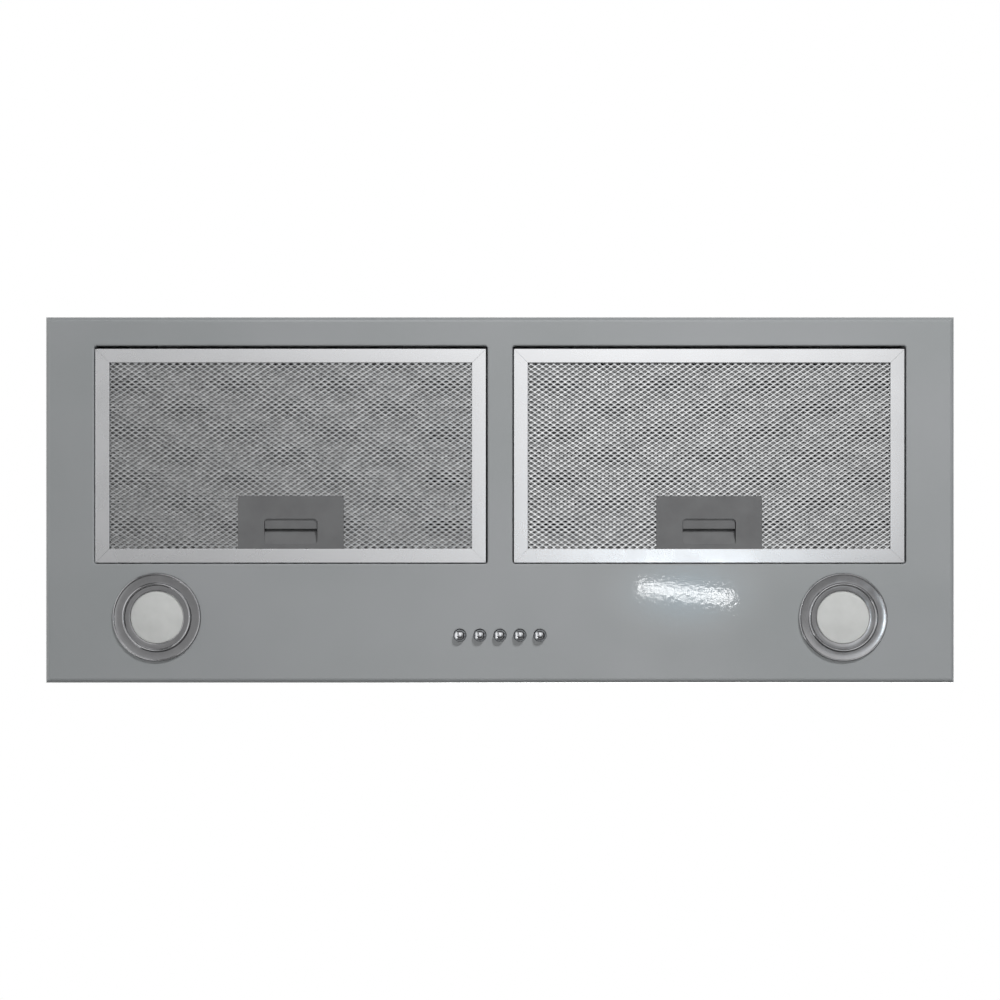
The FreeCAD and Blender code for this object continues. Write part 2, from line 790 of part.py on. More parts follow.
def lamp_rings():
    """The bright rings: a turned edge, a flat, a raised ridge and a slope down to the glass."""
    sleeve_in = sleeve_radius - sleeve_wall
    corners = [
        (aperture_radius, 0),
        (sleeve_in, 0),
        (sleeve_in, sleeve_length),
        (sleeve_radius, sleeve_length),
        (sleeve_radius, 0),
        (ring_radius, 0),
        (ring_radius, ring_bevel - ring_height),
        (ring_radius - ring_bevel, -ring_height),
        (ridge_radius + ridge_half_width, -ring_height),
        (ridge_radius, -ridge_height),
        (ridge_radius - ridge_half_width, -ring_height),
        (aperture_radius, -aperture_height),
    ]
    points = [Vector(radius, 0, height) for radius, height in corners]
    profile = [line(a, b) for a, b in zip(points, points[1:] + points[:1])]
    return [turned(profile, lamp_centre(side)) for side in SIDES.values()]


def lamp_glasses():
    """The frosted glasses: a flange behind the ring and a shallow dome in its aperture."""
    reach = aperture_radius - glass_gap
    drop = aperture_height / 3
    crown = Vector(0, 0, -drop - glass_bulge)
    out, depth = dome_middle(reach, glass_bulge)
    corners = [
        Vector(reach, 0, -drop),
        Vector(reach, 0, 0),
        Vector(glass_radius, 0, 0),
        Vector(glass_radius, 0, glass_flange),
        Vector(0, 0, glass_flange),
        crown,
    ]
    profile = [arc(crown, crown + Vector(out, 0, depth), corners[0])]
    profile += [line(a, b) for a, b in zip(corners, corners[1:])]
    return [turned(profile, lamp_centre(side)) for side in SIDES.values()]


def lamp_cups():
    """The drawn cups that hold the glasses down from behind."""
    cups = []
    for side in SIDES.values():
        start = lamp_centre(side) + Z_AXIS * glass_flange
        inside = rod(cup_radius - cup_wall, start - Z_AXIS * overrun, cup_height - cup_wall + overrun)
        cups.append(rod(cup_radius, start, cup_height).cut(inside))
    return cups


def lamp_bulbs():
    """A capsule bulb in its holder on the ceiling of each cup."""
    bulbs = []
    for side in SIDES.values():
        ceiling = lamp_centre(side) + Z_AXIS * (glass_flange + cup_height - cup_wall)
        base_x = centred(ceiling.x, bulb_base_length)
        base_y = centred(ceiling.y, bulb_base_width)
        base = block(base_x, base_y, (ceiling.z - bulb_base_height, ceiling.z))
        low = ceiling - Z_AXIS * (bulb_base_height + bulb_length)
        tip = Part.makeCone(bulb_radius / 2, bulb_radius, bulb_tip, low, Z_AXIS)
        stem = rod(bulb_radius, low + Z_AXIS * bulb_tip, bulb_length - bulb_tip)
        bulbs.append(base.fuse([tip, stem]).removeSplitter())
    return bulbs


def outlet_collar():
    """The moulded collar: a screwed base, the round spigot, the ledge for the flaps and the pin's holes."""
    base_size = (collar_base_length, collar_base_width)
    base = rounded_plate(base_size, collar_base_corner, (casing_top, collar_z), (0, collar_y))
    foot = Vector(0, collar_y, casing_top)
    inner = duct_radius - duct_wall
    spigot = rod(duct_radius, foot, collar_base_sheet + duct_height)
    top = collar_z + duct_height
    spigot = spigot.makeChamfer(duct_chamfer, edges_at(spigot, lambda p: near(p.z, top)))
    body = base.fuse(spigot)
    body = body.cut(rod(inner, foot - Z_AXIS * overrun, collar_base_sheet + duct_height + 2 * overrun))
    ledge_z = ledge_top - ledge_height
    ledge = pipe(inner + duct_wall / 2, inner - ledge_width, Vector(0, collar_y, ledge_z), ledge_height)
    body = body.fuse(ledge)
    pin_start = Vector(-duct_radius - overrun, collar_y, pin_z)
    body = body.cut(rod(pin_radius + pin_gap, pin_start, 2 * (duct_radius + overrun), X_AXIS))
    for x, y in collar_screw_places():
        start = Vector(x, y, casing_top - overrun)
        body = body.cut(rod(screw_radius + screw_hole_gap, start, collar_base_sheet + 2 * overrun))
    return body.removeSplitter()


def flap_pin():
    """The steel wire across the spigot that both flaps hang on."""
    length = 2 * duct_radius - duct_wall
    return rod(pin_radius, Vector(-length / 2, collar_y, pin_z), length, X_AXIS)


def draught_flap(side):
    """Half a disc with knuckles on the pin. side is -1 for the front flap and 1 for the rear one."""
    inner = duct_radius - duct_wall
    knuckle = pin_radius + pin_gap + knuckle_wall
    low = pin_z - flap_sheet / 2
    disc = rod(inner - flap_edge_gap, Vector(0, collar_y, low), flap_sheet)
    free_edge = knuckle + flap_rest_gap
    half = block(
        (-inner, inner), (collar_y + side * free_edge, collar_y + side * inner), (low, low + flap_sheet)
    )
    flap = disc.common(half)
    stride = knuckle_length + knuckle_gap
    for i in range(2 * knuckle_pairs):
        if (i % 2 == 0) != (side > 0):
            continue
        start = (i - knuckle_pairs) * stride + knuckle_gap / 2
        barrel = rod(knuckle, Vector(start, collar_y, pin_z), knuckle_length, X_AXIS)
        bridge_y = (collar_y, collar_y + side * 2 * free_edge)
        bridge = block((start, start + knuckle_length), bridge_y, (low, low + flap_sheet))
        flap = flap.fuse([barrel, bridge])
    bore = rod(pin_radius + pin_gap, Vector(-inner, collar_y, pin_z), 2 * inner, X_AXIS)
    return flap.cut(bore).removeSplitter()


def scroll_outline(x, inset, spare=0.0):
    """The spiral of three quarters and a bit, and the outlet above it, drawn inset from its outside."""
    step = scroll_step / 2
    first = Vector(x, wheel_y - step, wheel_z - step)
    second = first + Y_AXIS * scroll_step
    third = second + Z_AXIS * scroll_step
    radii = [scroll_radius + i * scroll_step - inset for i in range(3)]
    near_wall = wheel_y + tongue_offset + inset
    top = casing_inner_top + spare
    start = math.acos((near_wall - first.y) / radii[0])

    def on_arc(centre, radius, angle):
        return centre + Vector(0, radius * math.cos(angle), radius * math.sin(angle))

    quarter = math.pi / 2
    tongue = on_arc(first, radii[0], start)
    front = on_arc(first, radii[0], 2 * quarter)
    bottom = on_arc(second, radii[1], 3 * quarter)
    back = on_arc(third, radii[2], 4 * quarter)
    outlet_near = Vector(x, near_wall, top)
    outlet_far = Vector(x, back.y, top)
    return [
        line(outlet_near, tongue),
        arc(tongue, on_arc(first, radii[0], (start + 2 * quarter) / 2), front),
        arc(front, on_arc(second, radii[1], 2.5 * quarter), bottom),
        arc(bottom, on_arc(third, radii[2], 3.5 * quarter), back),
        line(back, outlet_far),
        line(outlet_far, outlet_near),
    ]


def scroll_wrap():
    """The strip between the cheeks: the spiral wall, the rounded tongue and the outlet's two walls."""
    depth = scroll_half - scroll_wall
    solid = extruded(scroll_outline(-depth, 0), X_AXIS * 2 * depth)
    cut_length = 2 * (depth + overrun)
    cavity = extruded(scroll_outline(-depth - overrun, scroll_wall, overrun), X_AXIS * cut_length)
    near_wall = wheel_y + tongue_offset + scroll_wall

    def tongue_edge(p):
        return near(p.y, near_wall) and wheel_z < p.z < casing_inner_top

    tongue = [edge for edge in edges_at(cavity, tongue_edge) if near(edge.Length, cut_length)]
    return solid.cut(cavity.makeFillet(tongue_round, tongue))


def scroll_cheek(side):
    """A side of the scroll: its rim stands out past the wrap, round a belled inlet and two screw lugs."""
    inside = side * (scroll_half - scroll_wall)
    outside = side * scroll_half
    plate = extruded(scroll_outline(inside, -seam_rim), X_AXIS * side * scroll_wall)
    axis = Vector(0, wheel_y, wheel_z)
    lip_start = axis + X_AXIS * (inside - side * inlet_lip_depth)
    lip = rod(inlet_radius + inlet_lip, lip_start, inlet_lip_depth + scroll_wall / 2, X_AXIS * side)
    lugs = []
    for x, y in collar_screw_places():
        if x * side > 0:
            span = (outside - side * scroll_wall / 2, outside + side * lug_length)
            lug_z = (casing_inner_top - lug_thickness, casing_inner_top)
            lugs.append(block(span, centred(y, lug_width), lug_z))
    inlet = rod(inlet_radius, axis, 2 * scroll_half, X_AXIS * side)
    cheek = plate.fuse([lip] + lugs).cut(inlet)
    for x, y in collar_screw_places():
        start = Vector(x, y, casing_inner_top - lug_thickness - overrun)
        cheek = cheek.cut(rod(screw_radius, start, lug_thickness + 2 * overrun))
    if side < 0:
        for place in spider_screw_places():
            start = place + X_AXIS * -overrun
            cheek = cheek.cut(rod(screw_radius, start, scroll_wall + 2 * overrun, X_AXIS))
    return cheek.removeSplitter()


def spider_angles():
    return [math.pi / 2 + i * 2 * math.pi / spider_arms for i in range(spider_arms)]


def spider_screw_places():
    """Where the motor bracket's screws meet the outside of the left cheek."""
    return [
        Vector(
            -scroll_half,
            wheel_y + spider_screw_radius * math.cos(angle),
            wheel_z + spider_screw_radius * math.sin(angle),
        )
        for angle in spider_angles()
    ]


def motor_bracket():
    """The three-armed spider across the left inlet that carries the motor."""
    outside = -scroll_half - spider_sheet
    start = Vector(outside, wheel_y, wheel_z)
    plate = rod(spider_ring, start, spider_sheet, X_AXIS)
    for angle in spider_angles():
        arm = block(
            (outside, -scroll_half), centred(wheel_y, spider_arm_width), (wheel_z, wheel_z + spider_reach)
        )
        arm.rotate(start, X_AXIS, math.degrees(angle) - 90)
        plate = plate.fuse(arm)
    plate = plate.cut(rod(spider_bore, start - X_AXIS * overrun, spider_sheet + 2 * overrun, X_AXIS))
    for place in spider_screw_places():
        hole = place - X_AXIS * (spider_sheet + overrun)
        plate = plate.cut(rod(screw_radius + screw_hole_gap, hole, spider_sheet + 2 * overrun, X_AXIS))
    return plate.removeSplitter()


def motor_shield(end):
    """A motor cup with its bearing seat. end is -1 for the rear cup and 1 for the front one."""
    outer_face = motor_rear if end < 0 else motor_front
    inward = X_AXIS * -end
    start = Vector(outer_face, wheel_y, wheel_z)
    depth = motor_length / 2
    cup = rod(motor_radius, start, depth, inward)
    cup = cup.cut(rod(motor_radius - motor_wall, start + inward * motor_wall, depth, inward))
    seat = start + inward * motor_wall
    boss = pipe(bearing_radius + bearing_boss, bearing_radius, seat, bearing_length, inward)
    cup = cup.fuse(boss)
    if end > 0:
        cup = cup.cut(rod(shaft_radius + 4 * shaft_gap, start - inward * overrun, depth, inward))
    return cup.removeSplitter()


def motor_stator():
    start = Vector(motor_middle - stator_length / 2, wheel_y, wheel_z)
    return pipe(motor_radius - motor_wall, rotor_radius + air_gap, start, stator_length, X_AXIS)


def motor_windings():
    """The two rings of copper that stand out of the stator's ends."""
    inner = rotor_radius + winding_inset
    outer = motor_radius - motor_wall - winding_margin
    rings = []
    for end in (-1, 1):
        start = Vector(motor_middle + end * stator_length / 2, wheel_y, wheel_z)
        rings.append(pipe(outer, inner, start, winding_length, X_AXIS * end))
    return rings


def motor_bearings():
    """A sintered bush in each cup."""
    bushes = []
    for end, face in ((-1, motor_rear), (1, motor_front)):
        start = Vector(face - end * motor_wall, wheel_y, wheel_z)
        bushes.append(pipe(bearing_radius, shaft_radius + shaft_gap, start, bearing_length, X_AXIS * -end))
    return bushes


def motor_rotor():
    start = Vector(motor_middle - stator_length / 2, wheel_y, wheel_z)
    return pipe(rotor_radius, shaft_radius, start, stator_length, X_AXIS)


def motor_shaft():
    end = hub_end + nut_length + overrun
    return rod(shaft_radius, Vector(shaft_start, wheel_y, wheel_z), end - shaft_start, X_AXIS)


def wheel_nut():
    """The hexagon nut on the shaft's end, which clamps the wheel's hub."""
    corners = []
    for i in range(6):
        angle = i * math.pi / 3
        y = wheel_y + nut_radius * math.cos(angle)
        corners.append(Vector(hub_end, y, wheel_z + nut_radius * math.sin(angle)))
    bore = rod(shaft_radius, Vector(0, wheel_y, wheel_z), 2 * (hub_end + nut_length), X_AXIS)
    return extruded(corners, X_AXIS * nut_length).cut(bore)


def blower_wheel():
    """The double squirrel-cage wheel: a disc with its hub, and curved blades in a ring on each face."""
    axis = Vector(0, wheel_y, wheel_z)
    outer = wheel_radius + wheel_rim
    inner = wheel_inner_radius - wheel_rim
    disc = rod(outer, axis - X_AXIS * wheel_web / 2, wheel_web, X_AXIS)
    hub = rod(hub_radius, axis, hub_end, X_AXIS)
    bore = rod(shaft_radius, axis - X_AXIS * hub_end, 3 * hub_end, X_AXIS)
    root = wheel_web / 2
    reach = wheel_half - wheel_ring / 2 - root
    mid_radius = (wheel_radius + wheel_inner_radius) / 2
    lead = math.radians(blade_lead)
    stations = [
        (wheel_inner_radius, 0),
        (mid_radius, lead * blade_sag_share),
        (wheel_radius, lead),
    ]
    back_of_blade = blade_thickness / mid_radius
    wheel = [disc.fuse(hub).cut(bore).removeSplitter()]
    for end in (-1, 1):
        ring = pipe(outer, inner, axis + X_AXIS * end * wheel_half, wheel_ring, X_AXIS * -end)
        blades = []
        for i in range(blade_count):
            turn = i * 2 * math.pi / blade_count

            def at(station, extra):
                radius, angle = station
                angle += turn + extra
                return axis + Vector(end * root, radius * math.cos(angle), radius * math.sin(angle))

            face = [at(station, 0) for station in stations]
            back = [at(station, back_of_blade) for station in stations]
            outline = [arc(*face), line(face[2], back[2]), arc(*back), line(back[0], face[0])]
            blades.append(extruded(outline, X_AXIS * end * reach))
        wheel.append(ring.fuse(blades).removeSplitter())
    return wheel


def capacitor():
    """The motor's run capacitor, hung from the casing's top by its stud."""
    top = Vector(capacitor_x, capacitor_y, casing_inner_top)
    can = rod(capacitor_radius, top - Z_AXIS * capacitor_length, capacitor_length)
    return can.fuse(rod(stud_radius, top, casing_sheet + stud_length)).removeSplitter()


def terminal_box():
    """The wiring box on the casing's front wall, with a slot in its top edge for the wires."""
    size = (terminal_length, terminal_width)
    centre = (terminal_x, terminal_y)
    box = block(centred(centre[0], size[0]), centred(centre[1], size[1]), (terminal_bottom, terminal_top))
    hollow_z = (terminal_bottom + terminal_wall, terminal_top + overrun)
    hollow = block(terminal_hollow()[0], terminal_hollow()[1], hollow_z)
    slot_y = (terminal_y, terminal_y + terminal_width)
    slot_z = (terminal_top - terminal_slot_width / 2, terminal_top + overrun)
    slot = block(centred(terminal_x, terminal_slot_width), slot_y, slot_z)
    return box.cut(hollow).cut(slot)


def terminal_hollow():
    """The spans in x and y of the wiring box's inside."""
    x_span = centred(terminal_x, terminal_length - 2 * terminal_wall)
    return x_span, centred(terminal_y, terminal_width - 2 * terminal_wall)


def terminal_lid():
    """The lid that plugs into the wiring box."""
    lid_z = (terminal_top, terminal_top + terminal_lid_height)
    lid = block(centred(terminal_x, terminal_length), centred(terminal_y, terminal_width), lid_z)
    x_span, y_span = terminal_hollow()
    plug_z = (terminal_top - terminal_lid_plug, terminal_top)
    plug_x = (x_span[0] + terminal_lid_gap, x_span[1] - terminal_lid_gap)
    plug_y = (y_span[0] + terminal_lid_gap, y_span[1] - terminal_lid_gap)
    return lid.fuse(block(plug_x, plug_y, plug_z)).removeSplitter()


def cable_bushing():
    """The snap-in bushing in the casing's top that the mains cable comes in through."""
    low = casing_inner_top - bushing_inner_flange
    at_low = Vector(terminal_x, bushing_y, low)
    at_top = Vector(terminal_x, bushing_y, casing_top)
    length = casing_top - low + bushing_flange_height + bushing_neck
    body = rod(bushing_radius, at_low, length)
    body = body.fuse(Part.makeCone(bushing_radius, bushing_flange, bushing_inner_flange, at_low, Z_AXIS))
    body = body.fuse(rod(bushing_flange, at_top, bushing_flange_height))
    bore = rod(cable_radius, at_low - Z_AXIS * overrun, length + 2 * overrun)
    return body.cut(bore).removeSplitter()


def save(name, shape):
    """Writes one sub-part, which may be several separate solids, to its own STEP file."""
    solids = shape if isinstance(shape, list) else [shape]
    whole = []
    for item in solids:
        whole += item.Solids
    out = whole[0] if len(whole) == 1 else Part.makeCompound(whole)
    if not all(s.isValid() and s.Volume > 0 for s in whole):
        raise ValueError(name + " is not a sound solid")
    out.exportStep(os.path.join("parts", name + ".step"))


def main():
    os.makedirs("parts", exist_ok=True)
    save("fascia_panel", fascia_panel())
    save("casing_shell", casing_shell())
    save("casing_front", casing_wall(-1))
    save("casing_rear", casing_wall(1))
    save("spring_clips", spring_clips())
    save("scroll_wrap", scroll_wrap())
    save("scroll_left", scroll_cheek(-1))
    save("scroll_right", scroll_cheek(1))
    save("motor_bracket", motor_bracket())
    save("motor_rear_shield", motor_shield(-1))
    save("motor_front_shield", motor_shield(1))
    save("motor_stator", motor_stator())
    save("motor_windings", motor_windings())
    save("motor_bearings", motor_bearings())
    save("outlet_collar", outlet_collar())
    save("flap_pin", flap_pin())
    save("flap_front", draught_flap(-1))
    save("flap_rear", draught_flap(1))
    save("switch_body", switch_body())
    save("switch_bracket", switch_bracket())
    save("terminal_box", terminal_box())
    save("terminal_lid", terminal_lid())
    save("capacitor", capacitor())
    save("cable_bushing", cable_bushing())
    save("lamp_rings", lamp_rings())
    save("lamp_glasses", lamp_glasses())
    save("lamp_cups", lamp_cups())
    save("lamp_bulbs", lamp_bulbs())
    save("blower_wheel", blower_wheel())
    save("motor_shaft", motor_shaft())
    save("motor_rotor", motor_rotor())
    save("wheel_nut", wheel_nut())
    for number, x in enumerate(button_places(), 1):
        save(f"button_{number}", push_button(x))
    front_mesh = (face_z + bar_wall, face_z + bar_wall + mesh_sheet)
    back_mesh = (bar_back_z - bar_wall - mesh_sheet, bar_back_z - bar_wall)
    for name, side in SIDES.items():
        save(f"casing_end_{name}", casing_end(side))
        save(f"filter_frame_{name}", filter_frame(side))
        save(f"filter_front_mesh_{name}", expanded_mesh(side, *front_mesh, mesh_columns, mesh_rows))
        save(f"filter_back_mesh_{name}", expanded_mesh(side, *back_mesh, back_columns, back_rows))
        save(f"filter_core_{name}", filter_core(side))
        save(f"filter_hooks_{name}", filter_hooks(side))
        save(f"latch_housing_{name}", latch_housing(side))
        save(f"latch_slide_{name}", latch_slide(side))
        save(f"latch_spring_{name}", latch_spring(side))


main()
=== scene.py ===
import math

import bmesh
import bpy
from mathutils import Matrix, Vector


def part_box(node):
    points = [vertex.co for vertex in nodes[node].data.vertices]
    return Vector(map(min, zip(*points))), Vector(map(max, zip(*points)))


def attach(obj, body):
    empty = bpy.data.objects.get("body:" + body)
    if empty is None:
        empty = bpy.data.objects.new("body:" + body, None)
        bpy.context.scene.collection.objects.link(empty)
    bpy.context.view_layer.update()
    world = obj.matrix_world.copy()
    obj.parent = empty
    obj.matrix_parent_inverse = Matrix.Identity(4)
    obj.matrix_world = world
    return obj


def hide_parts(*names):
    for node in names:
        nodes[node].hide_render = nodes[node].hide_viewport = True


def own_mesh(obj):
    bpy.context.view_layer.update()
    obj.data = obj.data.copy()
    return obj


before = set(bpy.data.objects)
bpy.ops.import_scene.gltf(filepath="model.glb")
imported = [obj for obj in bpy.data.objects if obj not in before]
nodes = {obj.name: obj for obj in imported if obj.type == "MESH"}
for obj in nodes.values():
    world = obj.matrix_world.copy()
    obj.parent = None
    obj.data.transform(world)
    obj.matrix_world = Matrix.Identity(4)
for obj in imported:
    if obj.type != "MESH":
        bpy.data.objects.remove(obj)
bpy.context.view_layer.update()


# The fascia is one tray folded from 0.8 mm steel, with its edges rolled to a 4 mm bend. It is
# coated in gloss grey enamel, which dries with a faint orange peel and a slow drift of shade.

def add_node(tree, kind, inputs=None, **settings):
    """Adds a node, and sets or wires the inputs named."""
    made = tree.nodes.new(kind)
    for name, value in settings.items():
        setattr(made, name, value)
    for name, value in (inputs or {}).items():
        if isinstance(value, bpy.types.NodeSocket):
            tree.links.new(value, made.inputs[name])
        else:
            made.inputs[name].default_value = value
    return made


def arithmetic(tree, operation, *values):
    """What a sum of numbers or sockets comes to."""
    return add_node(tree, "ShaderNodeMath", dict(enumerate(values)), operation=operation).outputs[0]


def ranged(tree, value, start, end, low=0.0, high=1.0, **settings):
    """A value carried from one span over to another, and held at the ends."""
    spans = {"Value": value, "From Min": start, "From Max": end, "To Min": low, "To Max": high}
    return add_node(tree, "ShaderNodeMapRange", spans, **settings).outputs["Result"]


def on_piece(tree, what="Object"):
    """The place on the piece itself, or its normal."""
    return tree.nodes.new("ShaderNodeTexCoord").outputs[what]


def shader_group(name, inputs, output):
    """An empty node group with named inputs, given as (name, default value), and one output."""
    tree = bpy.data.node_groups.new(name, "ShaderNodeTree")
    for title, value in inputs:
        kind = "NodeSocketVector" if isinstance(value, tuple) else "NodeSocketFloat"
        tree.interface.new_socket(name=title, in_out="INPUT", socket_type=kind).default_value = value
    tree.interface.new_socket(name=output, in_out="OUTPUT", socket_type="NodeSocketFloat")
    return tree, tree.nodes.new("NodeGroupInput").outputs, tree.nodes.new("NodeGroupOutput").inputs


def use_group(tree, group, **inputs):
    """The output of a node group, used in a tree with the inputs given."""
    return add_node(tree, "ShaderNodeGroup", inputs, node_tree=group).outputs[0]


# Slow drift between two values, for uneven coating, handling and age.
drift, given, result = shader_group("drift", [("Size", 0.1), ("Low", 0.0), ("High", 1.0)], "Value")
cloud = add_node(
    drift,
    "ShaderNodeTexNoise",
    {
        "Vector": on_piece(drift),
        "Scale": arithmetic(drift, "DIVIDE", 1.0, given["Size"]),
        "Detail": 3.0,
        "Roughness": 0.55,
    },
)
value = ranged(drift, cloud.outputs["Fac"], 0.32, 0.68, given["Low"], given["High"])
drift.links.new(value, result["Value"])

# Small rounded bumps of an even size, for orange peel, moulded grain and castings.
pebble, given, result = shader_group("pebble", [("Size", 0.002), ("Detail", 1.0)], "Height")
bumps = add_node(
    pebble,
    "ShaderNodeTexNoise",
    {
        "Vector": on_piece(pebble),
        "Scale": arithmetic(pebble, "DIVIDE", 1.0, given["Size"]),
        "Detail": given["Detail"],
    },
)
pebble.links.new(bumps.outputs["Fac"], result["Height"])


def new_finish(name, **values):
    """A material whose shader has the plain values given; returns its tree and its shader too."""
    material = bpy.data.materials.new(name)
    material.use_nodes = True
    shader = material.node_tree.nodes["Principled BSDF"]
    for title, value in values.items():
        shader.inputs[title.replace("_", " ")].default_value = value
    return material, material.node_tree, shader


def shade_between(tree, shader, mask, dark, pale):
    """Wires a base colour that a mask moves from dark to pale."""
    mix = add_node(tree, "ShaderNodeMix", {"Factor": mask}, data_type="RGBA")
    mix.inputs["A"].default_value = (*dark, 1)
    mix.inputs["B"].default_value = (*pale, 1)
    tree.links.new(mix.outputs["Result"], shader.inputs["Base Color"])


def raise_bumps(tree, shader, height, distance):
    bump = add_node(tree, "ShaderNodeBump", {"Height": height, "Distance": distance})
    tree.links.new(bump.outputs["Normal"], shader.inputs["Normal"])


def weathered(name, shade, gloss=None, relief=None, **values):
    """A finish whose shade (size, dark, pale), gloss (size, least and most roughness) and relief
    (size, detail, depth) each vary at their own scale."""
    material, tree, shader = new_finish(name, **values)
    size, dark, pale = shade
    shade_between(tree, shader, use_group(tree, drift, Size=size), dark, pale)
    if gloss:
        size, least, most = gloss
        roughness = use_group(tree, drift, Size=size, Low=least, High=most)
        tree.links.new(roughness, shader.inputs["Roughness"])
    if relief:
        size, detail, depth = relief
        raise_bumps(tree, shader, use_group(tree, pebble, Size=size, Detail=detail), depth)
    return material


def dress(material, *names):
    """Gives CAD nodes their finish."""
    for name in names:
        for place in nodes[name].material_slots:
            place.material = material


enamel = weathered(
    "grey_enamel",
    shade=(0.16, (0.260, 0.275, 0.280), (0.290, 0.300, 0.310)),
    gloss=(0.05, 0.34, 0.44),
    relief=(0.003, 4.0, 0.000018),
    Coat_Weight=0.9,
    Coat_Roughness=0.03,
    Coat_IOR=1.5,
)
shader = enamel.node_tree.nodes["Principled BSDF"]
peel = shader.inputs["Normal"].links[0].from_socket
enamel.node_tree.links.new(peel, shader.inputs["Coat Normal"])
dress(enamel, "fascia_panel")


# The casing is galvanised sheet: a top, two walls and two ends folded from flat and joined with
# blind rivets through their flanges. The zinc shows as large pale and dark spangles.

# Loose dust that has settled on what faces up.
dust, given, result = shader_group("dust", [("Amount", 0.5)], "Mask")
facing = add_node(dust, "ShaderNodeSeparateXYZ", {"Vector": on_piece(dust, "Normal")})
upward = ranged(dust, facing.outputs["Z"], 0.35, 1.0)
patches = add_node(
    dust,
    "ShaderNodeTexNoise",
    {"Vector": on_piece(dust), "Scale": 22.0, "Detail": 6.0, "Roughness": 0.7},
)
settled = ranged(dust, patches.outputs["Fac"], 0.38, 0.75)
lying = arithmetic(dust, "MULTIPLY", upward, settled)
dust.links.new(arithmetic(dust, "MULTIPLY", lying, given["Amount"]), result["Mask"])


def lay_dust(material, amount):
    """Lays dust over the base colour that is already wired."""
    tree = material.node_tree
    colour = tree.nodes["Principled BSDF"].inputs["Base Color"]
    layers = {"Factor": use_group(tree, dust, Amount=amount), 6: colour.links[0].from_socket}
    mix = add_node(tree, "ShaderNodeMix", layers, data_type="RGBA")
    mix.inputs["B"].default_value = (0.40, 0.38, 0.35, 1)
    tree.links.new(mix.outputs["Result"], colour)


zinc, tree, shader = new_finish("spangled_zinc", Metallic=0.85)
spangle = add_node(tree, "ShaderNodeTexVoronoi", {"Vector": on_piece(tree), "Scale": 125.0})
facet = add_node(tree, "ShaderNodeSeparateColor", {"Color": spangle.outputs["Color"]})
shade_between(tree, shader, facet.outputs["Red"], (0.58, 0.59, 0.60), (0.72, 0.73, 0.74))
roughness = ranged(tree, facet.outputs["Green"], 0.0, 1.0, 0.34, 0.52)
tree.links.new(roughness, shader.inputs["Roughness"])
raise_bumps(tree, shader, use_group(tree, pebble, Size=0.0015, Detail=4.0), 0.00006)
lay_dust(zinc, 0.35)
dress(zinc, "casing_shell", "casing_front", "casing_rear", "casing_end_left", "casing_end_right")

weld = 0.000002  # points nearer than this are one
pole_radius = 0.00001  # a profile that runs to its axis stops here before it is closed
square_on = 0.9  # a unit vector with this share along a direction counts as pointing that way


def choose(*pieces):
    """Leaves nothing but these pieces selected, with the first one active."""
    if bpy.context.mode != "OBJECT":
        bpy.ops.object.mode_set(mode="OBJECT")
    bpy.ops.object.select_all(action="DESELECT")
    for piece in pieces:
        piece.select_set(True)
    bpy.context.view_layer.objects.active = pieces[0]


def edit(piece):
    """Opens one piece alone for editing."""
    choose(piece)
    bpy.ops.object.mode_set(mode="EDIT")


def pick(kind, test):
    """Selects what passes the test among the points, edges or faces being edited."""
    bpy.ops.mesh.select_mode(type=kind)
    bpy.ops.mesh.select_all(action="DESELECT")
    mesh = bmesh.from_edit_mesh(bpy.context.object.data)
    for item in {"VERT": mesh.verts, "EDGE": mesh.edges, "FACE": mesh.faces}[kind]:
        if test(item):
            item.select_set(True)
    mesh.select_flush_mode()
    bmesh.update_edit_mesh(bpy.context.object.data)


def done(piece, name, material, body, smooth=30):
    """Closes the edit, sets the place into the mesh, and gives the piece its name, finish and body."""
    choose(piece)
    bpy.ops.object.transform_apply(location=True, rotation=True, scale=True)
    bpy.ops.object.shade_smooth_by_angle(angle=math.radians(smooth))
    shading = piece.modifiers.new("weighted", "WEIGHTED_NORMAL")
    shading.keep_sharp = True
    bpy.ops.object.modifier_apply(modifier=shading.name)
    piece.name = name
    piece.data.name = name
    piece.data.materials.clear()
    piece.data.materials.append(material)
    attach(piece, body)


def turned(centre, profile, sides):
    """A lathe piece: a disc whose cap is extruded and resized along (radius, height) steps. A profile
    that ends where it began closes into a ring; one that ends at radius 0 closes on its axis."""
    radius, height = profile[0]
    start = Vector(centre) + Vector((0, 0, height))
    bpy.ops.object.select_all(action="DESELECT")
    bpy.ops.mesh.primitive_circle_add(
        vertices=sides, radius=radius, fill_type="NGON", location=start
    )
    piece = bpy.context.object
    bpy.ops.object.transform_apply(location=True, rotation=True, scale=True)
    edit(piece)
    bpy.ops.mesh.select_all(action="SELECT")
    for next_radius, next_height in profile[1:]:
        rise = (0, 0, next_height - height)
        bpy.ops.mesh.extrude_region_move(TRANSFORM_OT_translate={"value": rise})
        share = max(next_radius, pole_radius) / radius
        here = Vector(centre) + Vector((0, 0, next_height))
        bpy.ops.transform.resize(value=(share, share, 1), center_override=here)
        radius, height = max(next_radius, pole_radius), next_height
    if profile[-1] == profile[0]:
        bpy.ops.mesh.delete(type="ONLY_FACE")
    elif profile[-1][0] == 0:
        bpy.ops.mesh.merge(type="CENTER")
    bpy.ops.mesh.select_all(action="SELECT")
    bpy.ops.mesh.remove_doubles(threshold=weld)
    bpy.ops.mesh.normals_make_consistent(inside=False)
    bpy.ops.object.mode_set(mode="OBJECT")
    return piece


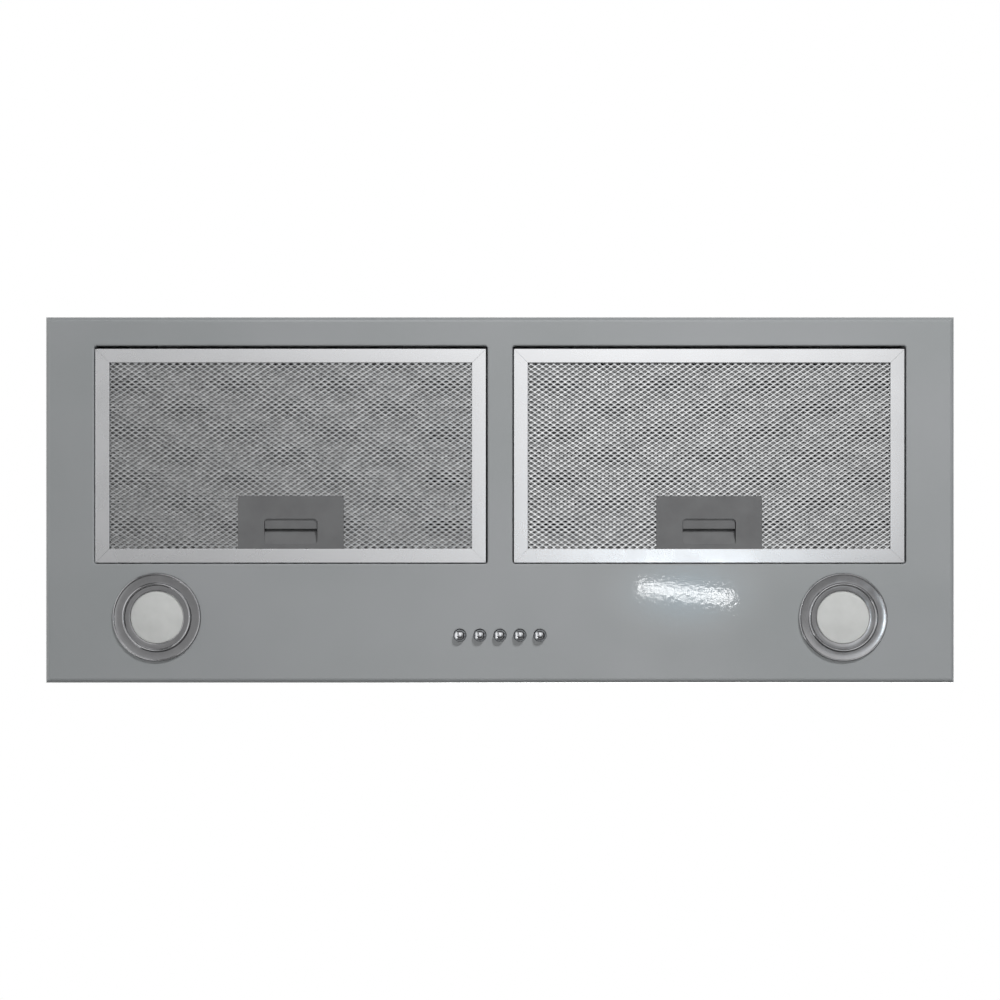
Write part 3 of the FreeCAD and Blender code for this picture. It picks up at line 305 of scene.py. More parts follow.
def copies(piece, places, turn=(0, 0, 0)):
    """Sets copies of a small piece, each with its own mesh, and joins them into one."""
    made = []
    for place in places:
        choose(piece)
        bpy.ops.object.duplicate(linked=False)
        copy = bpy.context.object
        copy.parent = None
        copy.rotation_euler = turn
        copy.location = place
        made.append(copy)
    bpy.data.objects.remove(piece)
    choose(*made)
    bpy.ops.object.join()
    bpy.ops.object.transform_apply(location=True, rotation=True, scale=True)
    return bpy.context.object


rivet_metal = weathered(
    "rivet_aluminium",
    shade=(0.004, (0.52, 0.53, 0.54), (0.70, 0.71, 0.72)),
    Metallic=1.0,
    Roughness=0.36,
)
rivet_head = [
    (0.0031, 0), (0.0030, 0.0004), (0.0024, 0.0010), (0.0011, 0.00125), (0.0009, 0.0009), (0, 0.0009),
]
rivet_sides = 12
origin = (0, 0, 0)
quarter = math.pi / 2
both = (-1, 1)
casing_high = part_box("casing_shell")[1]
casing_sheet = 0.0008
rivet_edge = 0.006
rivet_x = casing_high.x - rivet_edge
rivet_y = casing_high.y - casing_sheet - rivet_edge
rivets_along = (-0.28, -0.14, 0, 0.14, 0.28)
rivets_across = (-0.09, -0.045, 0, 0.045, 0.09)
rivets_up = (0.02, 0.075, 0.13)
places = [(sx * rivet_x, y, casing_high.z) for sx in both for y in rivets_across]
places += [(x, sy * rivet_y, casing_high.z) for sy in both for x in rivets_along]
rivets = copies(turned(origin, rivet_head, rivet_sides), places)
done(rivets, "rivets_top", rivet_metal, "casing")
for name, sign in (("front", -1), ("rear", 1)):
    places = [(sx * rivet_x, sign * casing_high.y, z) for sx in both for z in rivets_up]
    rivets = copies(turned(origin, rivet_head, rivet_sides), places, (-sign * quarter, 0, 0))
    done(rivets, f"rivets_{name}", rivet_metal, "casing")


# Four bowed strips of blued spring steel grip the cut-out. Each is held to an end of the casing
# by one rivet through its foot.
blued = weathered(
    "blued_spring_steel",
    shade=(0.012, (0.18, 0.19, 0.21), (0.34, 0.35, 0.37)),
    gloss=(0.006, 0.26, 0.42),
    relief=(0.0006, 3.0, 0.00002),
    Metallic=1.0,
)
dress(blued, "spring_clips", "latch_spring_left", "latch_spring_right")
clip_sheet = 0.0008
clip_x = casing_high.x + clip_sheet
clip_y = 0.048
clip_rivet_z = 0.021
for name, sign in (("left", -1), ("right", 1)):
    places = [(sign * clip_x, sy * clip_y, clip_rivet_z) for sy in both]
    rivets = copies(turned(origin, rivet_head, rivet_sides), places, (0, sign * quarter, 0))
    done(rivets, f"clip_rivets_{name}", rivet_metal, "casing")


# The outlet collar and its two flaps are moulded in black plastic with a fine spark-eroded grain.
# Four pan-head screws hold the collar down through the casing's top into the scroll's lugs.
black = weathered(
    "black_moulding",
    shade=(0.03, (0.018, 0.018, 0.019), (0.034, 0.034, 0.035)),
    gloss=(0.02, 0.42, 0.58),
    relief=(0.0007, 2.0, 0.00005),
    Specular_IOR_Level=0.45,
)
lay_dust(black, 0.3)
dress(black, "outlet_collar", "flap_front", "flap_rear", "switch_body", "cable_bushing")
steel = weathered(
    "bright_steel",
    shade=(0.01, (0.42, 0.42, 0.42), (0.60, 0.60, 0.59)),
    gloss=(0.004, 0.2, 0.34),
    relief=(0.0004, 2.0, 0.00001),
    Metallic=1.0,
)
dress(steel, "flap_pin", "motor_shaft", "wheel_nut")
head_radius = 0.0033
head_height = 0.0024
head_shares = ((1, 0), (1, 0.45), (0.86, 0.85), (0.6, 1))  # of the radius and the height
head_sides = 16
cross_share = 0.22  # of the radius, from the head's flat to the cross
recess_share = 0.5  # of the height


def pan_head():
    """A pan head with a cross recess, standing on the origin and facing up."""
    profile = [(head_radius * across, head_height * up) for across, up in head_shares]
    head = turned(origin, profile, head_sides)
    edit(head)
    crown = head_height * 0.99
    pick("FACE", lambda face: face.normal.z > square_on and face.calc_center_median().z > crown)
    bpy.ops.mesh.inset(thickness=head_radius * cross_share)
    bpy.ops.mesh.poke()
    pick("FACE", lambda face: len(face.verts) == 3 and face.index % 4 in (0, 1))
    sink = (0, 0, -head_height * recess_share)
    bpy.ops.mesh.extrude_region_move(TRANSFORM_OT_translate={"value": sink})
    bpy.ops.object.mode_set(mode="OBJECT")
    return head


collar_low, collar_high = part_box("outlet_collar")
collar_y = (collar_low.y + collar_high.y) / 2
collar_base_sheet = 0.003
screw_edge = 0.0085
screw_x = collar_high.x - screw_edge
screw_y = 0.026
screw_z = collar_low.z + collar_base_sheet
places = [(sx * screw_x, collar_y + sy * screw_y, screw_z) for sx in both for sy in both]
screws = copies(pan_head(), places)
done(screws, "collar_screws", steel, "casing")


# The scroll is a moulded wrap between two cheeks, and the three-armed bracket that carries the
# motor is pressed galvanised steel, screwed to the left cheek round its inlet.
dress(black, "scroll_wrap", "scroll_left", "scroll_right")
dress(zinc, "motor_bracket", "blower_wheel", "switch_bracket")
bracket_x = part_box("motor_bracket")[0].x
shaft_low, shaft_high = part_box("motor_shaft")
axle = (shaft_low + shaft_high) / 2
screw_circle = 0.0505
places = []
for angle in (math.radians(degrees) for degrees in (90, 210, 330)):
    across, up = screw_circle * math.cos(angle), screw_circle * math.sin(angle)
    places.append((bracket_x, axle.y + across, axle.z + up))
screws = copies(pan_head(), places, (0, -quarter, 0))
done(screws, "bracket_screws", steel, "casing")


# The motor has two pressed steel cups, painted satin black, round a stack of bare laminations with
# enamelled copper windings, and its shaft turns in two sintered bronze bushes.
cup_paint = weathered(
    "motor_paint",
    shade=(0.02, (0.06, 0.06, 0.065), (0.11, 0.11, 0.115)),
    gloss=(0.01, 0.35, 0.5),
    relief=(0.0012, 2.0, 0.00005),
    Metallic=0.3,
)
dress(cup_paint, "motor_rear_shield", "motor_front_shield")

core, tree, shader = new_finish("laminated_steel", Metallic=0.9, Roughness=0.5)
sheets = add_node(
    tree,
    "ShaderNodeTexWave",
    {"Vector": on_piece(tree), "Scale": 320.0, "Distortion": 0.2},
    wave_type="BANDS",
    bands_direction="X",
)
shade_between(tree, shader, sheets.outputs["Fac"], (0.14, 0.14, 0.15), (0.34, 0.34, 0.36))
raise_bumps(tree, shader, sheets.outputs["Fac"], 0.00008)
dress(core, "motor_stator", "motor_rotor")

copper, tree, shader = new_finish("enamelled_copper", Metallic=1.0, Roughness=0.3, Coat_Weight=0.5)
wires = add_node(
    tree,
    "ShaderNodeTexWave",
    {"Vector": on_piece(tree), "Scale": 500.0, "Distortion": 2.0, "Detail": 2.0},
)
shade_between(tree, shader, wires.outputs["Fac"], (0.30, 0.10, 0.04), (0.62, 0.26, 0.12))
raise_bumps(tree, shader, wires.outputs["Fac"], 0.0001)
dress(copper, "motor_windings")

bronze, tree, shader = new_finish("sintered_bronze", Metallic=1.0, Roughness=0.46)
pores = use_group(tree, pebble, Size=0.0005, Detail=3.0)
shade_between(tree, shader, pores, (0.26, 0.17, 0.08), (0.48, 0.33, 0.16))
raise_bumps(tree, shader, pores, 0.00003)
dress(bronze, "motor_bearings")


# The wiring box, its lid and the run capacitor's can are white plastic. The capacitor hangs from
# the casing's top by its stud, with a nut over a washer.
white = weathered(
    "white_moulding",
    shade=(0.03, (0.66, 0.65, 0.61), (0.76, 0.75, 0.72)),
    gloss=(0.015, 0.36, 0.48),
    relief=(0.0009, 2.0, 0.00003),
    Subsurface_Weight=0.05,
    Subsurface_Scale=0.002,
)
lay_dust(white, 0.3)
dress(white, "terminal_box", "terminal_lid", "capacitor")
can_low, can_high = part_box("capacitor")
stud = ((can_low.x + can_high.x) / 2, (can_low.y + can_high.y) / 2, casing_high.z)
bore = 0.0041
washer_radius = 0.0085
washer_top = 0.0010
washer_profile = [
    (bore, 0.0), (bore, washer_top), (washer_radius, washer_top), (washer_radius, 0.0), (bore, 0.0),
]
washer = turned(stud, washer_profile, 32)
done(washer, "stud_washer", steel, "casing")
nut_radius = 0.0068
nut_top = 0.0062
nut_bevel_radius = 0.0058
nut_bevel_low = 0.0056
nut_profile = [
    (bore, washer_top),
    (bore, nut_top),
    (nut_bevel_radius, nut_top),
    (nut_radius, nut_bevel_low),
    (nut_radius, washer_top),
    (bore, washer_top),
]
nut = turned(stud, nut_profile, 6)
done(nut, "stud_nut", steel, "casing", 20)


# Five domed caps of chrome-plated brass stand through the fascia. They are turned, then polished
# and plated, so nothing but faint wiping marks shows on them.
chrome = weathered(
    "button_chrome_plate",
    shade=(0.006, (0.60, 0.61, 0.63), (0.68, 0.69, 0.71)),
    gloss=(0.003, 0.05, 0.1),
    relief=(0.0011, 3.0, 0.000008),
    Metallic=1.0,
)
dome_height = 0.003
dome_steps = 12
plunger_radius = 0.0022
cap_back = 0.0108  # above the crown of the dome
cap_edge = 0.0003  # the chamfer round the back
shoulder = 0.0002  # from the dome's rim to the straight side
for number in range(1, 6):
    low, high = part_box(f"button_{number}")
    radius = (high.x - low.x) / 2
    centre = ((low.x + high.x) / 2, (low.y + high.y) / 2, low.z)
    sphere = (radius**2 + dome_height**2) / (2 * dome_height)
    rim_angle = math.asin(radius / sphere)
    profile = [
        (plunger_radius, high.z - low.z),
        (plunger_radius, cap_back),
        (radius - cap_edge, cap_back),
        (radius, cap_back - cap_edge),
        (radius, dome_height + shoulder),
    ]
    for step in range(dome_steps - 1, 0, -1):
        angle = rim_angle * step / dome_steps
        profile.append((sphere * math.sin(angle), sphere * (1 - math.cos(angle))))
    cap = turned(centre, profile + [(0, 0)], 48)
    done(cap, f"button_cap_{number}", chrome, f"button_{number}", 40)
    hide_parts(f"button_{number}")


# Each lamp has a spun steel ring with a turned edge and a raised bead, a frosted glass that bulges
# a little through it, and behind them a drawn aluminium cup with a capsule bulb.
ring_steel = weathered(
    "spun_ring_steel",
    shade=(0.02, (0.41, 0.41, 0.42), (0.49, 0.49, 0.50)),
    gloss=(0.008, 0.11, 0.16),
    relief=(0.0005, 3.0, 0.000005),
    Metallic=1.0,
    Anisotropic=0.4,
)
rings_low, rings_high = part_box("lamp_rings")
ring_radius = 0.034
ring_x = rings_high.x - ring_radius
ring_y = (rings_low.y + rings_high.y) / 2
face_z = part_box("fascia_panel")[0].z
# Down the sleeve behind the fascia, round the turned edge, over the bead and in to the glass.
ring_profile = [
    (0.0280, 0.0080),
    (0.0290, 0.0080),
    (0.0290, 0.0),
    (0.0338, 0.0),
    (0.0340, -0.0002),
    (0.0340, -0.0013),
    (0.0338, -0.0019),
    (0.0334, -0.0022),
    (0.0330, -0.0022),
    (0.0326, -0.0019),
    (0.0323, -0.0014),
    (0.0269, -0.0014),
    (0.0266, -0.0022),
    (0.0262, -0.0028),
    (0.0256, -0.0031),
    (0.0250, -0.0028),
    (0.0246, -0.0022),
    (0.0243, -0.0012),
    (0.0209, -0.0012),
    (0.0203, -0.0009),
    (0.0202, 0.0),
    (0.0280, 0.0),
    (0.0280, 0.0080),
]
for side, sign in (("left", -1), ("right", 1)):
    ring = turned((sign * ring_x, ring_y, face_z), ring_profile, 128)
    done(ring, f"lamp_ring_{side}", ring_steel, "casing", 60)
    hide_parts("lamp_rings")

frost = weathered(
    "frosted_glass_face",
    shade=(0.012, (0.57, 0.58, 0.57), (0.62, 0.63, 0.62)),
    gloss=(0.003, 0.45, 0.6),
    relief=(0.0004, 2.0, 0.00002),
    Transmission_Weight=0.12,
    IOR=1.5,
    Coat_Weight=0.25,
    Coat_Roughness=0.25,
)
dress(frost, "lamp_glasses")
spun = weathered(
    "spun_aluminium",
    shade=(0.015, (0.66, 0.66, 0.67), (0.80, 0.80, 0.81)),
    gloss=(0.01, 0.26, 0.4),
    relief=(0.0008, 3.0, 0.00002),
    Metallic=1.0,
)
dress(spun, "lamp_cups")
quartz = weathered(
    "quartz_capsule",
    shade=(0.004, (0.86, 0.86, 0.84), (0.95, 0.95, 0.94)),
    gloss=(0.003, 0.05, 0.16),
    Transmission_Weight=0.8,
    IOR=1.46,
)
dress(quartz, "lamp_bulbs")


# A filter's frame is four lengths of rolled aluminium channel with mitred corners. The metal is
# brushed along each length and then anodised, and its long edges are a little rounded. The two
# hooks on its back are blackened spring steel.

# Fine lines that run along one direction, for metal brushed or rolled lengthwise.
brushing, given, result = shader_group(
    "brushing", [("Along", (1.0, 0.0, 0.0)), ("Length", 0.03), ("Width", 0.00025)], "Lines"
)
lengthwise = arithmetic(brushing, "DIVIDE", 1.0, given["Length"])
crosswise = arithmetic(brushing, "DIVIDE", 1.0, given["Width"])
less = arithmetic(brushing, "SUBTRACT", lengthwise, crosswise)
along = add_node(
    brushing, "ShaderNodeVectorMath", {0: given["Along"], "Scale": less}, operation="SCALE"
)
every_way = add_node(
    brushing, "ShaderNodeCombineXYZ", {"X": crosswise, "Y": crosswise, "Z": crosswise}
)
stretch = add_node(
    brushing,
    "ShaderNodeVectorMath",
    {0: along.outputs[0], 1: every_way.outputs[0]},
    operation="ADD",
)
place = add_node(
    brushing,
    "ShaderNodeVectorMath",
    {0: on_piece(brushing), 1: stretch.outputs[0]},
    operation="MULTIPLY",
)
lines = add_node(
    brushing, "ShaderNodeTexNoise", {"Vector": place.outputs[0], "Scale": 1.0, "Detail": 3.0}
)
brushing.links.new(lines.outputs["Fac"], result["Lines"])


def brushed_aluminium(name, along):
    material, tree, shader = new_finish(name, Metallic=1.0)
    lines = use_group(tree, brushing, Along=along)
    shade_between(tree, shader, lines, (0.79, 0.795, 0.81), (0.86, 0.865, 0.88))
    roughness = use_group(tree, drift, Size=0.03, Low=0.24, High=0.3)
    tree.links.new(roughness, shader.inputs["Roughness"])
    raise_bumps(tree, shader, lines, 0.000004)
    return material


blackened = weathered(
    "blackened_hooks",
    shade=(0.008, (0.018, 0.018, 0.019), (0.04, 0.04, 0.042)),
    gloss=(0.005, 0.4, 0.6),
    relief=(0.0006, 3.0, 0.00002),
    Metallic=0.6,
)
dress(blackened, "filter_hooks_left", "filter_hooks_right")
brushed_x = brushed_aluminium("brushed_along_bar", (1, 0, 0))
brushed_y = brushed_aluminium("brushed_across", (0, 1, 0))
bar_width = 0.0109
bar_wall = 0.001
bar_round = 0.00045
mitre_gap = 0.00006
same_level = 0.00001


def block(centre, size):
    """A block of metal, opened for editing."""
    bpy.ops.object.select_all(action="DESELECT")
    bpy.ops.mesh.primitive_cube_add(size=1, location=centre)
    piece = bpy.context.object
    piece.scale = size
    bpy.ops.object.transform_apply(location=True, rotation=True, scale=True)
    edit(piece)
    return piece


def channel(low, high, inward):
    """A length of channel, open on its inward side, with its four long edges rounded."""
    size = high - low
    piece = block((low + high) / 2, size)
    pick("FACE", lambda face: face.normal.dot(inward) > square_on)
    bpy.ops.mesh.inset(thickness=bar_wall)
    sink = inward * (bar_wall - bar_width)
    bpy.ops.mesh.extrude_region_move(TRANSFORM_OT_translate={"value": sink})
    along = Vector((abs(inward.y), abs(inward.x), 0))

    def long_outer_edge(edge):
        a, b = (vert.co for vert in edge.verts)
        level = (a.z + b.z) / 2
        outer = min(abs(level - low.z), abs(level - high.z)) < same_level
        lies_along = abs((b - a).normalized().dot(along)) > square_on
        return outer and lies_along and (b - a).length > 0.99 * abs(size.dot(along))

    pick("EDGE", long_outer_edge)
    bpy.ops.mesh.bevel(offset=bar_round, segments=3, affect="EDGES")
    return piece


def mitre(x, y, away):
    """Cuts the end of a bar on the slant through a corner, and closes the cut."""
    corner = Vector((x, y, 0)) + away * mitre_gap
    bpy.ops.mesh.select_all(action="SELECT")
    bpy.ops.mesh.bisect(plane_co=corner, plane_no=away, use_fill=True, clear_inner=True)


def add_opposite(centre):
    """Adds the bar's twin on the other side of the frame."""
    bpy.ops.mesh.select_all(action="SELECT")
    bpy.ops.mesh.duplicate()
    bpy.ops.transform.rotate(value=math.pi, orient_axis="Z", center_override=centre)


slant = math.sqrt(0.5)
for side in ("left", "right"):
    low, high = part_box(f"filter_frame_{side}")
    centre = (low + high) / 2
    front = channel(low, Vector((high.x, low.y + bar_width, high.z)), Vector((0, 1, 0)))
    mitre(low.x, low.y, Vector((slant, -slant, 0)))
    mitre(high.x, low.y, Vector((-slant, -slant, 0)))
    add_opposite(centre)
    done(front, f"frame_long_bars_{side}", brushed_x, f"filter_{side}", 40)
    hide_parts(f"filter_frame_{side}")
    end = channel(low, Vector((low.x + bar_width, high.y, high.z)), Vector((1, 0, 0)))
    mitre(low.x, low.y, Vector((-slant, slant, 0)))
    mitre(low.x, high.y, Vector((-slant, -slant, 0)))
    add_opposite(centre)
    done(end, f"frame_end_bars_{side}", brushed_y, f"filter_{side}", 40)
    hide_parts(f"filter_frame_{side}")


# Between the channels lie layers of expanded aluminium. The sheet is slit and pulled, so its
# strands twist out of flat, and every crossing is a small tilted knuckle with four arms.
strand_grain = (0.0005, 3.0, 0.00003)
mesh_metal = weathered(
    "expanded_aluminium",
    shade=(0.006, (0.58, 0.59, 0.60), (0.80, 0.81, 0.82)),
    gloss=(0.003, 0.26, 0.42),
    relief=strand_grain,
    Metallic=1.0,
)
# The back and inner sheets are the same aluminium as the front one, but painted darker and given more
# roughness: the darker colour is painted shade, for where the front strands shade them.
shaded_inner_metal = weathered(
    "inner_layers_painted_shade",
    shade=(0.006, (0.36, 0.36, 0.36), (0.48, 0.48, 0.48)),
    gloss=(0.003, 0.45, 0.6),
    relief=strand_grain,
    Metallic=1.0,
)
foil = 0.0003
knuckle_share = 0.2  # of a diamond's length
fine_diamond = (0.00583, 0.00392)
coarse_diamond = (0.0063, 0.0044)
fine_strand = 0.0008
coarse_strand = 0.0017
back_strand = 0.0013
tilt = -0.16
front_tilts = {"left": -0.2, "right": 0.05}  # in radians, as each sheet came off the press
join_gap = 0.00002  # strand ends nearer than this are joined
channel_grip = 0.0015  # how far a sheet reaches into the channels
layer_step = 0.0012  # from the front sheet's back to the middle of the next
housing_lap = 0.001  # how far a sheet reaches in over the latch housing
notch_spare = 0.01  # how far the notch runs out past the housing


def knuckle(diamond, strand, tilt):
    """One bond at the origin, two strands high, with strands that reach half way to its four
    neighbours."""
    long_way, short_way = diamond
    piece = block(origin, (long_way * knuckle_share, strand * 2, foil))
    pick("EDGE", lambda edge: abs(edge.verts[0].co.y - edge.verts[1].co.y) > strand)
    bpy.ops.mesh.subdivide(number_cuts=1)
    bpy.ops.mesh.select_all(action="SELECT")
    bpy.ops.transform.rotate(value=tilt, orient_axis="X", center_override=origin)
    for sx in both:
        for sy in both:

            def arm_root(face):
                off_middle = face.calc_center_median().y * sy > strand * 0.2
                return face.normal.x * sx > square_on and off_middle

            pick("FACE", arm_root)
            mesh = bmesh.from_edit_mesh(piece.data)
            root = [face for face in mesh.faces if face.select][0].calc_center_median()
            reach = Vector((sx * long_way / 4, sy * short_way / 4, 0)) - root
            bpy.ops.mesh.extrude_region_move(TRANSFORM_OT_translate={"value": reach})
            bpy.ops.mesh.delete(type="ONLY_FACE")
    bpy.ops.object.mode_set(mode="OBJECT")
    return piece


def repeat(piece, count, step):
    """Repeats a piece in a row and joins what touches."""
    array = piece.modifiers.new("row", "ARRAY")
    array.use_relative_offset = False
    array.use_constant_offset = True
    array.constant_offset_displace = step
    array.count = count
    array.use_merge_vertices = True
    array.merge_threshold = join_gap
    bpy.ops.object.modifier_apply(modifier=array.name)


def expanded_sheet(low, high, level, diamond, strand, tilt, clear):
    """A sheet of diamonds between two corners in plan, cut out round the latch housing."""
    long_way, short_way = diamond
    piece = knuckle(diamond, strand, tilt)
    choose(piece)
    bpy.ops.object.duplicate(linked=False)
    twin = bpy.context.object
    twin.location = (long_way / 2, short_way / 2, 0)
    choose(piece, twin)
    bpy.ops.object.join()
    columns = math.ceil((high.x - low.x) / long_way) + 1
    rows = math.ceil((high.y - low.y) / short_way) + 1
    repeat(piece, columns, (long_way, 0, 0))
    repeat(piece, rows, (0, short_way, 0))
    middle = (low + high) / 2
    piece.location = (middle.x - columns * long_way / 2, middle.y - rows * short_way / 2, level)
    bpy.ops.object.transform_apply(location=True, rotation=True, scale=True)
    edit(piece)
    trims = ((low, (1, 0, 0)), (low, (0, 1, 0)), (high, (-1, 0, 0)), (high, (0, -1, 0)))
    for corner, away in trims:
        cut = (corner.x, corner.y, level)
        bpy.ops.mesh.select_all(action="SELECT")
        bpy.ops.mesh.bisect(plane_co=cut, plane_no=away, clear_inner=True)
    first, last = clear
    pick("VERT", lambda v: first.x < v.co.x < last.x and first.y < v.co.y < last.y)
    bpy.ops.mesh.delete(type="VERT")
    bpy.ops.object.mode_set(mode="OBJECT")
    return piece


for side in ("left", "right"):
    low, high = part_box(f"filter_frame_{side}")
    inset = Vector((bar_width - channel_grip, bar_width - channel_grip, 0))
    low, high = low + inset, high - inset
    latch_low, latch_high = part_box(f"latch_housing_{side}")
    notch_low = latch_low + Vector((housing_lap, -notch_spare, 0))
    notch = (notch_low, latch_high - Vector((housing_lap, housing_lap, 0)))
    front_low, front_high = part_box(f"filter_front_mesh_{side}")
    back_low, back_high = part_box(f"filter_back_mesh_{side}")
    level = (front_low.z + front_high.z) / 2
    front_tilt = front_tilts[side]
    sheet = expanded_sheet(low, high, level, fine_diamond, fine_strand, front_tilt, notch)
    done(sheet, f"mesh_front_{side}", mesh_metal, f"filter_{side}", 25)
    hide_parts(f"filter_front_mesh_{side}")
    level = (back_low.z + back_high.z) / 2
    sheet = expanded_sheet(low, high, level, fine_diamond, back_strand, tilt, notch)
    done(sheet, f"mesh_back_{side}", shaded_inner_metal, f"filter_{side}", 25)
    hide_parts(f"filter_back_mesh_{side}")
    level = front_high.z + layer_step
    sheet = expanded_sheet(low, high, level, coarse_diamond, coarse_strand, tilt, notch)
    done(sheet, f"mesh_inner_{side}", shaded_inner_metal, f"filter_{side}", 25)
    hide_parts(f"filter_core_{side}")


# The latch is moulded in grey plastic with a fine matt grain and rounded edges: a housing with a
# finger scoop, and in its window the pad of the slide. A steel coil behind the slide shortens as
# the slide is drawn back.
grey = weathered(
    "grey_moulding",
    shade=(0.02, (0.122, 0.123, 0.126), (0.142, 0.144, 0.147)),
    gloss=(0.012, 0.4, 0.54),
    relief=(0.0006, 2.0, 0.00003),
    Specular_IOR_Level=0.4,
)
housing_round = 0.00035
pad_round = 0.0003
wire_round = 0.00005


def rounded_copy(node, width):
    """A copy of a CAD node with its facets merged and its sharp edges rounded."""
    choose(nodes[node])
    bpy.ops.object.duplicate(linked=False)
    copy = bpy.context.object
    copy.parent = None
    for key in list(copy.keys()):
        if key.startswith("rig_"):
            del copy[key]
    edit(copy)
    bpy.ops.mesh.select_all(action="SELECT")
    bpy.ops.mesh.customdata_custom_splitnormals_clear()
    bpy.ops.mesh.remove_doubles(threshold=weld)
    bpy.ops.mesh.dissolve_limited(angle_limit=math.radians(1))
    bpy.ops.object.mode_set(mode="OBJECT")
    bevel = copy.modifiers.new("rounded", "BEVEL")
    bevel.width = width
    bevel.segments = 2
    bevel.limit_method = "ANGLE"
    bevel.angle_limit = math.radians(35)
    bpy.ops.object.modifier_apply(modifier=bevel.name)
    return copy


for side in ("left", "right"):
    housing = rounded_copy(f"latch_housing_{side}", housing_round)
    done(housing, f"latch_plate_{side}", grey, f"filter_{side}", 35)
    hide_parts(f"latch_housing_{side}")
    slide = rounded_copy(f"latch_slide_{side}", pad_round)
    done(slide, f"latch_pad_{side}", grey, f"latch_{side}", 35)
    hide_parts(f"latch_slide_{side}")
    spring = rounded_copy(f"latch_spring_{side}", wire_round)
    done(spring, f"latch_coil_{side}", blued, f"filter_{side}", 35)
    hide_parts(f"latch_spring_{side}")
    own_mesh(spring)


# The studio: a pale floor far below the hood, a white room, soft lamps below and above, a graded
# card for the metal to reflect, and the camera straight below the fascia, as in the photograph.

def seen_level(tree, unseen, seen):
    """One strength for what a camera, gloss or glass sees, and another for the light it gives."""
    rays = tree.nodes.new("ShaderNodeLightPath").outputs
    shown = arithmetic(tree, "MAXIMUM", rays["Is Camera Ray"], rays["Is Glossy Ray"])
    shown = arithmetic(tree, "MAXIMUM", shown, rays["Is Transmission Ray"])
    return ranged(tree, shown, 0.0, 1.0, unseen, seen)


floor_paint, tree, shader = new_finish(
    "pale_floor", Roughness=0.7, Base_Color=(0.78, 0.78, 0.77, 1), Emission_Color=(1, 1, 1, 1)
)
tree.links.new(seen_level(tree, 0.0, 0.6), shader.inputs["Emission Strength"])
bpy.ops.object.select_all(action="DESELECT")
bpy.ops.mesh.primitive_plane_add(size=24, location=(0, 0, -2.4))
floor = bpy.context.object
floor.name = "floor"
floor.data.materials.append(floor_paint)

world = bpy.data.worlds.new("white_room")
bpy.context.scene.world = world
world.use_nodes = True
tree = world.node_tree
sky = tree.nodes["Background"]
sky.inputs["Color"].default_value = (1, 1, 1, 1)
tree.links.new(seen_level(tree, 0.15, 1.0), sky.inputs["Strength"])


def area_lamp(name, place, aim, size, power, seen_in_gloss=True):
    bpy.ops.object.select_all(action="DESELECT")
    bpy.ops.object.light_add(type="AREA", location=place)
    lamp = bpy.context.object
    lamp.name = name
    lamp.data.shape = "RECTANGLE"
    lamp.data.size, lamp.data.size_y = size
    lamp.data.energy = power
    lamp.rotation_euler = (Vector(aim) - Vector(place)).to_track_quat("-Z", "Y").to_euler()
    lamp.visible_camera = False
    lamp.visible_glossy = seen_in_gloss
    return lamp


area_lamp(
    "key_from_below",
    place=(-0.85, 1.65, -1.55),
    aim=(-0.05, 0, 0),
    size=(0.32, 0.32),
    power=45,
    seen_in_gloss=False,
)
area_lamp(
    "fill_from_below",
    place=(-0.2, -0.6, -1.3),
    aim=(-0.05, -0.1, 0),
    size=(0.8, 0.5),
    power=5,
    seen_in_gloss=False,
)
area_lamp("overhead", place=(-0.6, -0.9, 1.7), aim=(0, 0, 0.1), size=(1.4, 1.4), power=30)
# A narrow lamp, for the bright streak that the photograph shows on the panel.
strip = area_lamp(
    "strip_lamp",
    place=(-0.309, -0.154, -1.5),
    aim=(-0.309, -0.154, 0),
    size=(0.156, 0.016),
    power=0.165,
)
strip.rotation_euler = (math.pi, 0, math.radians(6.5))


def studio_card(name, place, size, turn, glow):
    """A sheet that only metal and gloss see, as bright as the value or function given."""
    paint = bpy.data.materials.new(name)
    paint.use_nodes = True
    tree = paint.node_tree
    tree.nodes.remove(tree.nodes["Principled BSDF"])
    light = tree.nodes.new("ShaderNodeEmission")
    if callable(glow):
        glow(tree, light)
    else:
        light.inputs["Strength"].default_value = glow
    tree.links.new(light.outputs[0], tree.nodes["Material Output"].inputs["Surface"])
    bpy.ops.object.select_all(action="DESELECT")
    bpy.ops.mesh.primitive_plane_add(size=1, location=place, rotation=turn)
    card = bpy.context.object
    card.name = name
    card.scale = (*size, 1)
    bpy.ops.object.transform_apply(location=True, rotation=True, scale=True)
    card.data.materials.append(paint)
    card.visible_camera = False
    card.visible_diffuse = False
    card.visible_shadow = False
    card.visible_transmission = False


card_half = 2.2
# Places across the card and how bright it is there. The camera sees each part of the panel mirror
# a place on the card 2.2 times as far out.
brightness_across = (
    (-2.2, 0.12), (-1.1, 0.15), (-0.85, 0.80), (-0.68, 0.85), (-0.36, 1.0), (-0.03, 0.94),
    (0.03, 0.86), (0.35, 0.55), (0.68, 0.42), (0.9, 0.46), (1.2, 1.2), (2.2, 1.3),
)


def between(tree, factor, first, second):
    """A value that a factor moves from the first to the second."""
    return add_node(tree, "ShaderNodeMix", {0: factor, 2: first, 3: second}).outputs[0]


